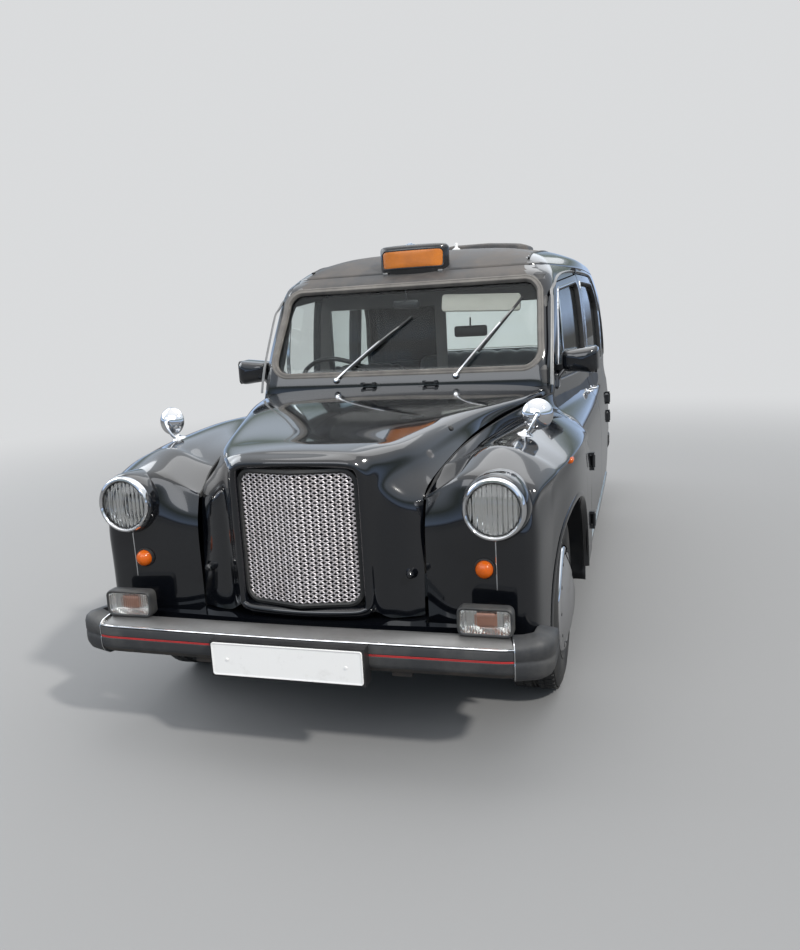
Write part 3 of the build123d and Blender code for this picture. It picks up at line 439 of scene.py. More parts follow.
def rounded_rectangle(half_width, half_height, radius, steps=8):
    """Points of a rounded rectangle round (0, 0), anticlockwise."""
    points = []
    for quarter, (sx, sy) in enumerate(((1, 1), (-1, 1), (-1, -1), (1, -1))):
        for step in range(steps + 1):
            turn = (quarter + step / steps) * pi / 2
            points.append((sx * (half_width - radius) + radius * cos(turn),
                           sy * (half_height - radius) + radius * sin(turn)))
    return points


def rounded_polygon(points, radii, steps=8):
    """A polygon whose corners are arcs, as evenly parted short lines."""
    points = [np.asarray(point, float) for point in points]
    rows = []
    for index, corner in enumerate(points):
        before = points[index - 1] - corner
        after = points[(index + 1) % len(points)] - corner
        before, after = before / np.linalg.norm(before), after / np.linalg.norm(after)
        half_turn = np.arccos(np.clip(np.dot(before, after), -1, 1)) / 2
        reach = radii[index] / tan(half_turn)
        start, end = corner + before * reach, corner + after * reach
        weight = sin(half_turn)
        for step in range(steps + 1):
            t = step / steps
            parts = ((1 - t) ** 2, 2 * weight * t * (1 - t), t ** 2)
            rows.append((parts[0] * start + parts[1] * corner + parts[2] * end) / sum(parts))
    return np.array(rows)


def evenly(points, spacing, closed=True):
    """Points added on long sides, so that none is longer than the spacing."""
    rows = []
    count = len(points)
    for index in range(count if closed else count - 1):
        start, end = points[index], points[(index + 1) % count]
        parts = max(1, int(np.ceil(np.linalg.norm(end - start) / spacing)))
        rows += [start + (end - start) * part / parts for part in range(parts)]
    if not closed:
        rows.append(points[-1])
    return np.array(rows)

# Body surface, from the same sections as the frame
# columns: height, front station, front corner radius, half width at the front,
# at the middle, at the rear side, at the tail, tail station
BODY_SECTIONS = (
    (330, 1440, 20, 850, 858, 850, 705, 4420),
    (500, 1440, 20, 864, 867, 861, 730, 4450),
    (680, 1440, 20, 864, 868, 860, 728, 4420),
    (842, 1440, 20, 846, 864, 856, 704, 4330),
    (900, 1440, 20, 826, 858, 850, 688, 4275),
    (940, 1440, 20, 790, 848, 846, 672, 4225),
    (975, 1440, 20, 728, 834, 838, 656, 4175),
    (1050, 1440, 20, 698, 818, 828, 620, 4070),
    (1110, 1444, 50, 697, 817, 827, 614, 4040),
    (1163, 1456, 60, 695, 815, 826, 606, 4010),
    (1475, 1641, 70, 684, 789, 798, 564, 3855),
    (1590, 1710, 90, 664, 766, 770, 530, 3795),
    (1637, 1786, 120, 632, 752, 754, 505, 3755),
    (1682, 1866, 150, 582, 731, 730, 466, 3690),
    (1716, 1955, 170, 505, 668, 664, 400, 3610),
    (1744, 2060, 170, 400, 576, 570, 312, 3490),
    (1762, 2210, 120, 240, 400, 396, 200, 3270),
)
mid_station = 2600
rear_side_station = 3720
windscreen_bow = 12
tail_bow = 60
# Least distance along the car from the side's last corner to the corner of the tail
corner_run = 85
skin_lift = 3.5
skin_depth = 4.0


def gentle(places, values, wanted):
    """A smooth line through values that never swings past them."""
    places, values = np.asarray(places, float), np.asarray(values, float)
    steps = np.diff(places)
    slopes = np.diff(values) / steps
    tangents = np.zeros(len(values))
    for index in range(1, len(values) - 1):
        left, right = slopes[index - 1], slopes[index]
        if left * right > 0:
            first = 2 * steps[index] + steps[index - 1]
            second = steps[index] + 2 * steps[index - 1]
            tangents[index] = (first + second) / (first / left + second / right)
    tangents[0], tangents[-1] = slopes[0], slopes[-1]
    wanted = np.asarray(wanted, float)
    index = np.clip(np.searchsorted(places, wanted) - 1, 0, len(steps) - 1)
    t = (wanted - places[index]) / steps[index]
    h = steps[index]
    return ((1 + 2 * t) * (1 - t) ** 2 * values[index] + t * (1 - t) ** 2 * h * tangents[index]
            + t * t * (3 - 2 * t) * values[index + 1] + t * t * (t - 1) * h * tangents[index + 1])


def corner_arc(before, corner, after, reach, steps, half=None):
    """Points of a corner's arc whose ends lie a reach away from the corner."""
    back_way = (before - corner) / np.linalg.norm(before - corner)
    on_way = (after - corner) / np.linalg.norm(after - corner)
    weight = sin(np.arccos(np.clip(np.dot(back_way, on_way), -1, 1)) / 2)
    start, end = corner + back_way * reach, corner + on_way * reach
    low, high = {"first": (0, 0.5), "last": (0.5, 1), None: (0, 1)}[half]
    rows = []
    for t in np.linspace(low, high, steps + 1):
        parts = ((1 - t) ** 2, 2 * weight * t * (1 - t), t ** 2)
        rows.append((parts[0] * start + parts[1] * corner + parts[2] * end) / sum(parts))
    return rows


def half_plan(row, inset):
    """One side of the body's plan outline from the nose to the tail, with as many points at any height."""
    _, front, front_radius, x_front, x_mid, x_rear, x_tail, tail = row
    corners = [np.array(point, float) for point in (
        (-x_front + inset, front + windscreen_bow + inset),
        (0, front + inset),
        (x_front - inset, front + windscreen_bow + inset),
        (x_mid - inset, mid_station),
        (x_rear - inset, min(rear_side_station, tail - tail_bow - corner_run)),
        (x_tail - inset * 0.6, tail - tail_bow - inset),
        (0, tail - inset),
        (-x_tail + inset * 0.6, tail - tail_bow - inset),
    )]

    def reach(index, share):
        sides = (np.linalg.norm(corners[index] - corners[index - 1]),
                 np.linalg.norm(corners[index + 1] - corners[index]))
        return share * min(sides)

    side, front_side = corners[3] - corners[2], corners[2] - corners[1]
    turn = abs(atan2(side[0] * front_side[1] - side[1] * front_side[0], np.dot(side, front_side)))
    reaches = {1: reach(1, 0.6), 2: front_radius * tan(turn / 2), 3: reach(3, 0.45), 4: reach(4, 0.4),
               5: reach(5, 0.45), 6: reach(6, 0.45)}
    counts = {1: 6, 2: 8, 3: 22, 4: 18, 5: 16, 6: 8}
    lines = {1: 8, 2: 14, 3: 10, 4: 6, 5: 5}
    rows = []
    for index in range(1, 7):
        half = {1: "last", 6: "first"}.get(index)
        arc = corner_arc(corners[index - 1], corners[index], corners[index + 1], reaches[index],
                         counts[index], half)
        if rows:
            start = rows[-1]
            parts = lines[index - 1]
            rows += [start + (arc[0] - start) * part / parts for part in range(1, parts)]
        rows += arc
    return np.array(rows)


class BodySurface:
    """The cab's outer face as a grid of points over a length up the side and a length round the plan."""

    def __init__(self, sections, inset=0.0):
        table = np.array(sections, float)
        rise = np.hypot(np.diff(table[:, 4]), np.diff(table[:, 0]))
        self.knots = np.concatenate([[0], np.cumsum(rise)])
        count = int(self.knots[-1] / 7)
        self.up = np.linspace(0, self.knots[-1], count)
        columns = [gentle(self.knots, table[:, index], self.up) for index in range(table.shape[1])]
        self.height = columns[0]
        plans = [half_plan([column[index] for column in columns], inset) for index in range(count)]
        self.points = np.array([np.column_stack([plan[:, 0], plan[:, 1],
                                                 np.full(len(plan), self.height[index])])
                                for index, plan in enumerate(plans)])
        belt = self.points[int(np.searchsorted(self.height, 1050))]
        steps = np.linalg.norm(np.diff(belt, axis=0), axis=1)
        self.round = np.concatenate([[0], np.cumsum(steps)])
        along_up = np.gradient(self.points, self.up, axis=0)
        along_round = np.gradient(self.points, self.round, axis=1)
        normal = np.cross(along_round, along_up)
        self.normals = normal / np.maximum(np.linalg.norm(normal, axis=2), 1e-9)[..., None]
        self.length = self.round[-1]

    def look_up(self, grid, u, s):
        side = np.sign(u) + (u == 0)
        u = np.abs(u)
        folded = np.where(u > self.length, 2 * self.length - u, u)
        side = np.where(u > self.length, -side, side)
        i = np.clip(np.searchsorted(self.up, s) - 1, 0, len(self.up) - 2)
        j = np.clip(np.searchsorted(self.round, folded) - 1, 0, len(self.round) - 2)
        a = ((s - self.up[i]) / (self.up[i + 1] - self.up[i]))[:, None]
        b = ((folded - self.round[j]) / (self.round[j + 1] - self.round[j]))[:, None]
        found = ((1 - a) * (1 - b) * grid[i, j] + a * (1 - b) * grid[i + 1, j]
                 + (1 - a) * b * grid[i, j + 1] + a * b * grid[i + 1, j + 1])
        found[:, 0] *= side
        return found

    def at(self, domain):
        u, s = np.asarray(domain, float).T
        points = self.look_up(self.points, u, s)
        normals = self.look_up(self.normals, u, s)
        normals /= np.linalg.norm(normals, axis=1)[:, None]
        return points, normals

    def from_side(self, outline):
        """Domain places of (station, height) points on the car's left side."""
        rows = []
        for station, height in outline:
            s = float(np.interp(height, self.height, self.up))
            i = min(int(np.searchsorted(self.up, s)), len(self.up) - 1)
            rows.append((float(np.interp(station, self.points[i, :, 1], self.round)), s))
        return np.array(rows)

    def from_front(self, outline):
        """Domain places of (x, height) points on the face with the windscreen."""
        rows = []
        for x, height in outline:
            s = float(np.interp(height, self.height, self.up))
            i = min(int(np.searchsorted(self.up, s)), len(self.up) - 1)
            reach = int(np.argmax(self.points[i, :, 0]))
            rows.append((float(np.sign(x) * np.interp(abs(x), self.points[i, :reach, 0], self.round[:reach])),
                         s))
        return np.array(rows)

    def from_tail(self, outline):
        """Domain places of (x, height) points on the tail, counted round from the nose by the left side."""
        rows = []
        for x, height in outline:
            s = float(np.interp(height, self.height, self.up))
            i = min(int(np.searchsorted(self.up, s)), len(self.up) - 1)
            reach = int(np.argmax(self.points[i, :, 0]))
            tail = self.points[i, reach:, 0][::-1]
            u = float(np.interp(abs(x), tail, self.round[reach:][::-1]))
            rows.append((u if x >= 0 else 2 * self.length - u, s))
        return np.array(rows)

    def up_at(self, height):
        return float(np.interp(height, self.height, self.up))


def within(points, outline):
    """Which points lie inside a closed outline."""
    x, y = np.asarray(points, float).T
    inside = np.zeros(len(x), bool)
    for index in range(len(outline)):
        (x0, y0), (x1, y1) = outline[index - 1], outline[index]
        if y0 == y1:
            continue
        crosses = ((y0 > y) != (y1 > y)) & (x < (x1 - x0) * (y - y0) / (y1 - y0) + x0)
        inside ^= crosses
    return inside


def moved_in(outline, amount):
    """A closed outline moved in by an amount; one run clockwise moves out."""
    before = outline - np.roll(outline, 1, 0)
    after = np.roll(outline, -1, 0) - outline
    before /= np.maximum(np.linalg.norm(before, axis=1), 1e-9)[:, None]
    after /= np.maximum(np.linalg.norm(after, axis=1), 1e-9)[:, None]
    way = before + after
    way /= np.maximum(np.linalg.norm(way, axis=1), 1e-9)[:, None]
    left = np.column_stack([-way[:, 1], way[:, 0]])
    area = np.sum(outline[:, 0] * np.roll(outline[:, 1], -1) - outline[:, 1] * np.roll(outline[:, 0], -1))
    return outline + left * amount * (1 if area > 0 else -1)


def skin(name, surface, loops, inside, material, lift=skin_lift, depth=skin_depth, grid=22.0, edge=2.5,
         edge_drop=1.4):
    """A panel of the body surface with a rolled edge. loops are closed outlines in the surface's domain,
    each with the side of it that keeps metal, and inside tells which places do."""
    lines, joins = [], []
    for outline, keep in loops:
        outline = evenly(outline, 16.0)
        for ring in (outline, moved_in(outline, edge * keep)):
            start = sum(len(line) for line in lines)
            lines.append(ring)
            joins += [(start + index, start + (index + 1) % len(ring)) for index in range(len(ring))]
    rim_points = np.concatenate(lines)
    low, high = rim_points.min(0), rim_points.max(0)
    rise = grid / 2
    u, s = np.meshgrid(np.arange(low[0] + grid / 2, high[0], grid),
                       np.arange(low[1] + rise / 2, high[1], rise))
    field = np.column_stack([u.ravel(), s.ravel()])
    field = field[inside(field)]
    near = np.full(len(field), np.inf)
    for chunk in range(0, len(rim_points), 256):
        gaps = np.linalg.norm(field[:, None] - rim_points[None, chunk:chunk + 256], axis=2)
        near = np.minimum(near, gaps.min(1))
    field = field[near > grid * 0.45]
    everything = np.concatenate([rim_points, field])
    rows, _, faces, *_ = delaunay_2d_cdt([Vector(point) for point in everything], joins, [], 0, 1e-5)
    domain = np.array([tuple(row) for row in rows])
    faces = np.array([tuple(face) for face in faces if len(face) == 3])
    centres = domain[faces].mean(1)
    faces = faces[inside(centres)]
    edges = np.sort(np.concatenate([faces[:, [0, 1]], faces[:, [1, 2]], faces[:, [2, 0]]]), axis=1)
    pairs, counts = np.unique(edges, axis=0, return_counts=True)
    border = set(pairs[counts == 1].ravel().tolist())
    points, normals = surface.at(domain)
    count = len(domain)
    height = np.full(count, lift)
    height[list(border)] = lift - edge_drop
    outer = points + normals * height[:, None]
    inner = points - normals * depth
    used = np.unique(faces)
    corner = points[faces]
    turned = np.einsum("ij,ij->i", np.cross(corner[:, 1] - corner[:, 0], corner[:, 2] - corner[:, 0]),
                       normals[faces[:, 0]]) < 0
    faces[turned] = faces[turned][:, ::-1]
    all_faces = [tuple(face) for face in faces] + [tuple(face[::-1] + count) for face in faces]
    directed = np.concatenate([faces[:, [0, 1]], faces[:, [1, 2]], faces[:, [2, 0]]])
    border_pairs = {tuple(pair) for pair in pairs[counts == 1]}
    for a, b in directed:
        if (min(a, b), max(a, b)) in border_pairs:
            all_faces.append((b, a, a + count, b + count))
    mesh = bpy.data.meshes.new(name)
    vertices = placed(np.concatenate([outer, inner]))
    mesh.from_pydata([tuple(v) for v in vertices], [], [tuple(int(i) for i in face) for face in all_faces])
    mesh.polygons.foreach_set("use_smooth", [True] * len(mesh.polygons))
    mesh.set_sharp_from_angle(angle=radians(50))
    split = np.zeros((len(mesh.loops), 3))
    loop_points = np.empty(len(mesh.loops), np.int32)
    mesh.loops.foreach_get("vertex_index", loop_points)
    sheet = 3 * len(faces)
    split[:sheet] = normals[loop_points[:sheet]]
    mesh.normals_split_custom_set([tuple(row) for row in split])
    form = bmesh.new()
    form.from_mesh(mesh)
    loose = [vertex for vertex in form.verts if not vertex.link_faces]
    bmesh.ops.delete(form, geom=loose, context="VERTS")
    form.to_mesh(mesh)
    form.free()
    assert len(used)
    return link(name, mesh, material)


BODY = BodySurface(BODY_SECTIONS)
GLASS_FACE = BodySurface(BODY_SECTIONS, 16.0)

# Openings, as side-view (station, height) or front-view (x, height) outlines
shut_gap = 6
FRONT_DOOR = ((1480, 385), (1480, 1035), (1548, 1100), (1746, 1478), (1806, 1546), (2397, 1600), (2397, 385))
FRONT_DOOR_RADII = (20, 25, 40, 300, 60, 20, 20)
REAR_DOOR = ((2403, 385), (2403, 1602), (3100, 1602), (3296, 1470), (3296, 385))
REAR_DOOR_RADII = (26, 20, 160, 120, 24)
FRONT_WINDOW = ((1612, 1112), (1780, 1440), (1836, 1512), (2340, 1556), (2340, 1112))
FRONT_WINDOW_RADII = (30, 200, 40, 35, 30)
REAR_WINDOW = ((2458, 1112), (2458, 1558), (3080, 1556), (3236, 1446), (3236, 1112))
REAR_WINDOW_RADII = (30, 35, 110, 90, 30)
QUARTER_WINDOW = ((3362, 1120), (3362, 1462), (3470, 1440), (3560, 1340), (3606, 1120))
QUARTER_WINDOW_RADII = (25, 30, 60, 90, 30)
WINDSCREEN = ((-648, 1180), (-620, 1571), (620, 1571), (648, 1180))
WINDSCREEN_RADII = (75, 70, 70, 75)
BACK_WINDOW = ((-440, 1185), (-405, 1500), (405, 1500), (440, 1185))
BACK_WINDOW_RADII = (70, 80, 80, 70)
BOOT = ((-470, 575), (-470, 1008), (470, 1008), (470, 575))
BOOT_RADII = (60, 90, 90, 60)
rear_arch_centre = (3610, 343)
tail_station = 3302
rear_wing_tail = 4190
rear_wing_crest = 905
roof_foot = 1637


def soft_outline(points, radii, steps=8):
    return evenly(rounded_polygon(points, radii, steps), 24.0)


def circle_outline(centre, radius, steps=72):
    turns = np.arange(steps) * 2 * pi / steps
    return np.column_stack([centre[0] + radius * np.cos(turns), centre[1] + radius * np.sin(turns)])


front_door_edge = soft_outline(FRONT_DOOR, FRONT_DOOR_RADII)
rear_door_edge = soft_outline(REAR_DOOR, REAR_DOOR_RADII)
front_window_edge = soft_outline(FRONT_WINDOW, FRONT_WINDOW_RADII)
rear_window_edge = soft_outline(REAR_WINDOW, REAR_WINDOW_RADII)
quarter_edge = soft_outline(QUARTER_WINDOW, QUARTER_WINDOW_RADII)
windscreen_edge = soft_outline(WINDSCREEN, WINDSCREEN_RADII, 12)
back_window_edge = soft_outline(BACK_WINDOW, BACK_WINDOW_RADII, 12)
boot_edge = soft_outline(BOOT, BOOT_RADII, 12)

front_door_u = BODY.from_side(front_door_edge)
rear_door_u = BODY.from_side(rear_door_edge)
front_window_u = BODY.from_side(front_window_edge)
rear_window_u = BODY.from_side(rear_window_edge)
quarter_u = BODY.from_side(quarter_edge)
windscreen_u = BODY.from_front(windscreen_edge)
back_window_u = BODY.from_tail(back_window_edge)
boot_u = BODY.from_tail(boot_edge)
front_hole_u = BODY.from_side(moved_in(front_door_edge, -shut_gap))
rear_hole_u = BODY.from_side(moved_in(rear_door_edge, -shut_gap))
rear_arch_u = BODY.from_side(circle_outline(rear_arch_centre, 446))
wing_arch_u = BODY.from_side(circle_outline(rear_arch_centre, 440))
mouth_u = BODY.from_side(circle_outline(rear_arch_centre, 388))
boot_hole_u = BODY.from_tail(moved_in(boot_edge, -shut_gap))
top_up = BODY.up_at(roof_foot)
foot_up = BODY.up_at(331)


def other_u(outline):
    return outline * (-1, 1)


def opposite_u(outline):
    """The same outline on the right side, counted round by the left and the tail."""
    return np.column_stack([2 * BODY.length - outline[:, 0], outline[:, 1]])


def band(u_low, u_high, s_low, s_high):
    corners = np.array(((u_low, s_low), (u_high, s_low), (u_high, s_high), (u_low, s_high)), float)
    return evenly(corners, 22.0)


# Doors
front_door_skin = skin("front_door_skin_left", BODY, [(front_door_u, 1), (front_window_u, -1)],
                       lambda p: within(p, front_door_u) & ~within(p, front_window_u), PAINT)
rear_door_skin = skin("rear_door_skin_left", BODY, [(rear_door_u, 1), (rear_window_u, -1), (rear_arch_u, -1)],
                      lambda p: within(p, rear_door_u) & ~within(p, rear_window_u) & ~within(p, rear_arch_u),
                      PAINT)
for piece, body in ((front_door_skin, "door_fl"), (rear_door_skin, "door_rl")):
    settle(piece, body, "body_paint")
    settle(mirrored(piece, piece.name.replace("left", "right")), body[:-1] + "r", "body_paint")

# Cab frame: windscreen surround, posts, header and sills
side_end = BODY.from_side(((tail_station, 1637), (tail_station, 500)))[0][0]
scuttle_up = BODY.up_at(1092)
frame_foot = BODY.from_side(((1460, 331), (1460, 1040)))
wing_rear_u = float(frame_foot[:, 0].mean())
frame_band = band(-side_end, side_end, foot_up, top_up)
nose_band = band(-wing_rear_u, wing_rear_u, foot_up, scuttle_up)


def in_cab_frame(p):
    keep = (np.abs(p[:, 0]) < side_end) & (p[:, 1] > foot_up) & (p[:, 1] < top_up)
    keep &= ~within(p, windscreen_u) & ~within(p, nose_band)
    for hole in (front_hole_u, rear_hole_u, wing_arch_u):
        keep &= ~within(p, hole) & ~within(p, other_u(hole))
    return keep


cab_loops = [(frame_band, 1), (windscreen_u, -1), (nose_band, -1)]
for hole in (front_hole_u, rear_hole_u, wing_arch_u):
    cab_loops += [(hole, -1), (other_u(hole), -1)]
cab_skin = skin("cab_frame_skin", BODY, cab_loops, in_cab_frame, PAINT)
settle(cab_skin, "root", "body_paint")

# Rear wings
wing_tail_u = BODY.from_side(((rear_wing_tail, 600),))[0][0]
wing_band = band(side_end, wing_tail_u, foot_up, BODY.up_at(rear_wing_crest))


def in_rear_wing(p):
    zone = within(p, wing_band) | (within(p, wing_arch_u) & (p[:, 1] > foot_up))
    return zone & ~(within(p, mouth_u) & (p[:, 1] < BODY.up_at(600))) & (p[:, 0] < wing_tail_u)


mouth_top = BODY.up_at(600)
mouth_low = band(mouth_u[:, 0].min() - 5, mouth_u[:, 0].max() + 5, foot_up - 400, mouth_top)
wing_foot_line = band(wing_arch_u[:, 0].min() - 30, wing_tail_u, foot_up, BODY.up_at(rear_wing_crest) + 60)
wing_skin = skin("rear_wing_skin_left", BODY,
                 [(wing_band, 1), (wing_arch_u, 1), (mouth_u, -1), (mouth_low, -1), (wing_foot_line, 1)],
                 in_rear_wing, PAINT)
settle(wing_skin, "root", "body_paint")
settle(mirrored(wing_skin, "rear_wing_skin_right"), "root", "body_paint")

# Tail shell and boot lid
tail_band = band(side_end, 2 * BODY.length - side_end, foot_up, top_up)
back_hole_u = back_window_u


def in_tail(p):
    keep = within(p, tail_band) & ~within(p, back_hole_u) & ~within(p, boot_hole_u)
    for hole in (quarter_u, wing_band, wing_arch_u):
        keep &= ~within(p, hole) & ~within(p, opposite_u(hole))
    return keep


tail_loops = [(tail_band, 1), (back_hole_u, -1), (boot_hole_u, -1)]
for hole in (quarter_u, wing_band, wing_arch_u):
    tail_loops += [(hole, -1), (opposite_u(hole), -1)]
settle(skin("tail_shell_skin", BODY, tail_loops, in_tail, PAINT), "root", "body_paint", "tail_shell")
settle(skin("boot_lid_skin", BODY, [(boot_u, 1)], lambda p: within(p, boot_u), PAINT), "boot", "body_paint")


# Glass panes, set back in their openings
def pane(name, outline, body):
    piece = skin(name, GLASS_FACE, [(outline, 1)], lambda p: within(p, outline), GLASS, lift=0.0, depth=5.0,
                 grid=40.0, edge=1.0, edge_drop=0.2)
    settle(piece, body, "glass")
    return piece


for side, sign in (("left", 1), ("right", -1)):
    for place, edge in (("front", front_window_edge), ("rear", rear_window_edge)):
        outline = GLASS_FACE.from_side(moved_in(edge, 0.3)) * (sign, 1)
        glass = pane(f"{place}_door_glass_{side}", outline, f"door_{place[0]}{side[0]}")
        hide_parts(f"door_glass_{place}_{side}")
fixed_panes = [pane("windscreen_glass", GLASS_FACE.from_front(moved_in(windscreen_edge, 0.3)), "root"),
               pane("back_glass", GLASS_FACE.from_tail(moved_in(back_window_edge, 0.3)), "root")]
for side, sign in (("left", 1), ("right", -1)):
    outline = GLASS_FACE.from_side(moved_in(quarter_edge, 0.3)) * (sign, 1)
    fixed_panes.append(pane(f"quarter_glass_{side}", outline, "root"))
for glass in fixed_panes:
    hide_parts("fixed_glass")

# Roof panel with its lining, from rings that close on the centre line
roof_seam_x = 560
roof_seam_front, roof_seam_rear = 1862, 3440
crown_rise = 4.0
roof_front_y = placed([(0, 1960, 0)])[0][1]
roof_rear_y = placed([(0, roof_seam_rear, 0)])[0][1]
roof_rows = [index for index in range(len(BODY.up)) if BODY.height[index] >= roof_foot - 2][::2]
if roof_rows[-1] != len(BODY.up) - 1:
    roof_rows.append(len(BODY.up) - 1)
rings = []
for index in roof_rows:
    left = BODY.points[index] + BODY.normals[index] * skin_lift
    right = (left * (-1, 1, 1))[::-1][1:-1]
    rings.append(np.concatenate([left, right]))
last = rings[-1]
for part in np.linspace(0, 1, 9)[1:]:
    ring = last.copy()
    ring[:, 0] *= 1 - part
    middle = (last[:, 1].min() + last[:, 1].max()) / 2
    ring[:, 1] = middle + (last[:, 1] - middle) * (1 - part * 0.4)
    ring[:, 2] += crown_rise * (1 - (1 - part) ** 2)
    rings.append(ring)
count = len(rings[0])
faces = []
for level in range(len(rings) - 1):
    for place in range(count):
        follow = (place + 1) % count
        faces.append((level * count + place, level * count + follow, (level + 1) * count + follow,
                      (level + 1) * count + place))
roof = mesh_piece("roof_skin", placed(np.concatenate(rings)), faces, PAINT, sharp=40)
roof.data.materials.append(ROOF_PAINT)
roof.data.materials.append(PAPER_LINING)
lining = roof.modifiers.new("lining", "SOLIDIFY")
lining.thickness = skin_depth * MM
lining.offset = -1
lining.material_offset = 2
plain(roof)
for face in roof.data.polygons:
    x, y, z = face.center
    if face.material_index == 0 and abs(x) < roof_seam_x * MM and y < roof_rear_y and (z > 1.672
                                                                                       or y < roof_front_y):
        face.material_index = 1
settle(roof, "root", "roof_skin", "roof_panel")
header_foot = 1.588
cab_skin.data.materials.append(ROOF_PAINT)
for face in cab_skin.data.polygons:
    if abs(face.center.x) < roof_seam_x * MM and face.center.z > header_foot and face.center.y < roof_front_y:
        face.material_index = 1

# Smooth cages: control points are moved until the smooth surface runs through the wanted points
class Cage:
    def __init__(self):
        self.points = []
        self.places = {}
        self.faces = []

    def add(self, key, point):
        if key not in self.places:
            self.places[key] = len(self.points)
            self.points.append(tuple(float(value) for value in point))
        return self.places[key]

    def quad(self, *keys):
        self.faces.append(tuple(self.places[key] for key in keys))

    def mirror(self):
        """Adds the other half. Points on the centre line are shared."""
        other = {}
        for index in range(len(self.points)):
            x, station, height = self.points[index]
            if abs(x) < 1e-6:
                other[index] = index
            else:
                other[index] = len(self.points)
                self.points.append((-x, station, height))
        self.faces += [tuple(other[index] for index in reversed(face)) for face in list(self.faces)]

    def fitted(self, rounds=14):
        """Control points whose smooth surface passes through the cage's own points."""
        count = len(self.points)
        target = np.array(self.points)
        sides, opposite, beside = {}, [set() for _ in range(count)], [set() for _ in range(count)]
        for face in self.faces:
            size = len(face)
            for place, index in enumerate(face):
                follow, before = face[(place + 1) % size], face[place - 1]
                beside[index] |= {follow, before}
                if size == 4:
                    opposite[index].add(face[(place + 2) % 4])
                pair = (min(index, follow), max(index, follow))
                sides[pair] = sides.get(pair, 0) + 1
        border = [[] for _ in range(count)]
        for (a, b), uses in sides.items():
            if uses == 1:
                border[a].append(b)
                border[b].append(a)
        near = np.zeros((count, count))
        for index in range(count):
            if border[index]:
                if len(beside[index]) == 2:
                    near[index, index] = 1
                else:
                    near[index, index] = 4 / 6
                    for other in border[index]:
                        near[index, other] += 1 / 6
            else:
                n = len(beside[index])
                total = n * (n + 5)
                near[index, index] = n * n / total
                for other in beside[index]:
                    near[index, other] += 4 / total
                for other in opposite[index]:
                    near[index, other] += 1 / total
        control = target.copy()
        for _ in range(rounds):
            control += target - near @ control
        return control


def smooth_shell(name, cage, material, thickness, levels=3):
    """A subdivided sheet with a wall inside it."""
    mesh = bpy.data.meshes.new(name)
    mesh.from_pydata([tuple(v) for v in placed(cage.fitted())], [], cage.faces)
    form = bmesh.new()
    form.from_mesh(mesh)
    bmesh.ops.recalc_face_normals(form, faces=form.faces)
    form.to_mesh(mesh)
    form.free()
    mesh.polygons.foreach_set("use_smooth", [True] * len(mesh.polygons))
    piece = link(name, mesh, material)
    rounding = piece.modifiers.new("smooth", "SUBSURF")
    rounding.levels = rounding.render_levels = levels
    rounding.boundary_smooth = "PRESERVE_CORNERS"
    wall = piece.modifiers.new("wall", "SOLIDIFY")
    wall.thickness = thickness * MM
    wall.offset = -1
    plain(piece)
    piece.data.set_sharp_from_angle(angle=radians(60))
    return piece


# Bonnet. Each line across has eight places from the nose to the scuttle.
# columns of a place: x, station, height
BONNET_LINES = {
    "A": ((0, 188, 1000), (0, 205, 1016), (0, 240, 1023), (0, 310, 1030), (0, 450, 1042), (0, 800, 1080),
          (0, 1150, 1100), (0, 1434, 1114)),
    "B": ((130, 190, 999), (132, 207, 1014), (138, 243, 1020), (150, 312, 1027), (175, 450, 1039),
          (240, 800, 1078), (305, 1150, 1097), (350, 1434, 1110)),
    "C": ((212, 193, 988), (222, 211, 1002), (238, 248, 1009), (262, 316, 1018), (300, 450, 1031),
          (395, 800, 1073), (500, 1150, 1088), (560, 1434, 1100)),
    "D": ((242, 197, 955), (262, 217, 966), (290, 256, 978), (325, 322, 993), (370, 450, 1014),
          (470, 800, 1056), (590, 1150, 1072), (652, 1434, 1086)),
    "E": ((250, 198, 905), (275, 220, 908), (315, 260, 914), (358, 330, 928), (405, 455, 958),
          (490, 800, 1025), (603, 1150, 1050), (672, 1434, 1072)),
    "F": ((250, 198, 850), (285, 219, 849), (345, 243, 846), (405, 292, 846), (427, 425, 912),
          (496, 797, 996), (585, 1150, 1026), (680, 1434, 1060)),
}
# columns: line, height, x and station at four places from the surround outwards
BONNET_FLANKS = (
    ("G", 740, (250, 198), (285, 216), (345, 234), (405, 272)),
    ("H", 620, (250, 198), (285, 214), (345, 228), (404, 258)),
    ("I", 505, (250, 198), (285, 213), (345, 225), (403, 246)),
    ("J", 458, (246, 198), (285, 212), (345, 222), (403, 243)),
)
# columns: line, x, height, and the direction away from the grille
SURROUND_EDGE = (
    ("A", 0, 1004, 0, 1), ("B", 125, 1003, 0.02, 1), ("C", 205, 994, 0.35, 0.94), ("D", 243, 957, 0.9, 0.43),
    ("E", 250, 905, 1, 0), ("F", 250, 850, 1, 0), ("G", 250, 740, 1, 0), ("H", 250, 620, 1, 0),
    ("I", 250, 512, 1, 0), ("J", 241, 482, 0.88, -0.47), ("K", 207, 462, 0.42, -0.9), ("L", 112, 457, 0, -1),
    ("M", 0, 456, 0, -1),
)
# columns: place across the surround, way outwards, station
SURROUND_PROFILE = (("r0", -42, 214), ("r1", -39, 180), ("r2", -27, 161), ("r3", -9, 168))
surround_bow = 28


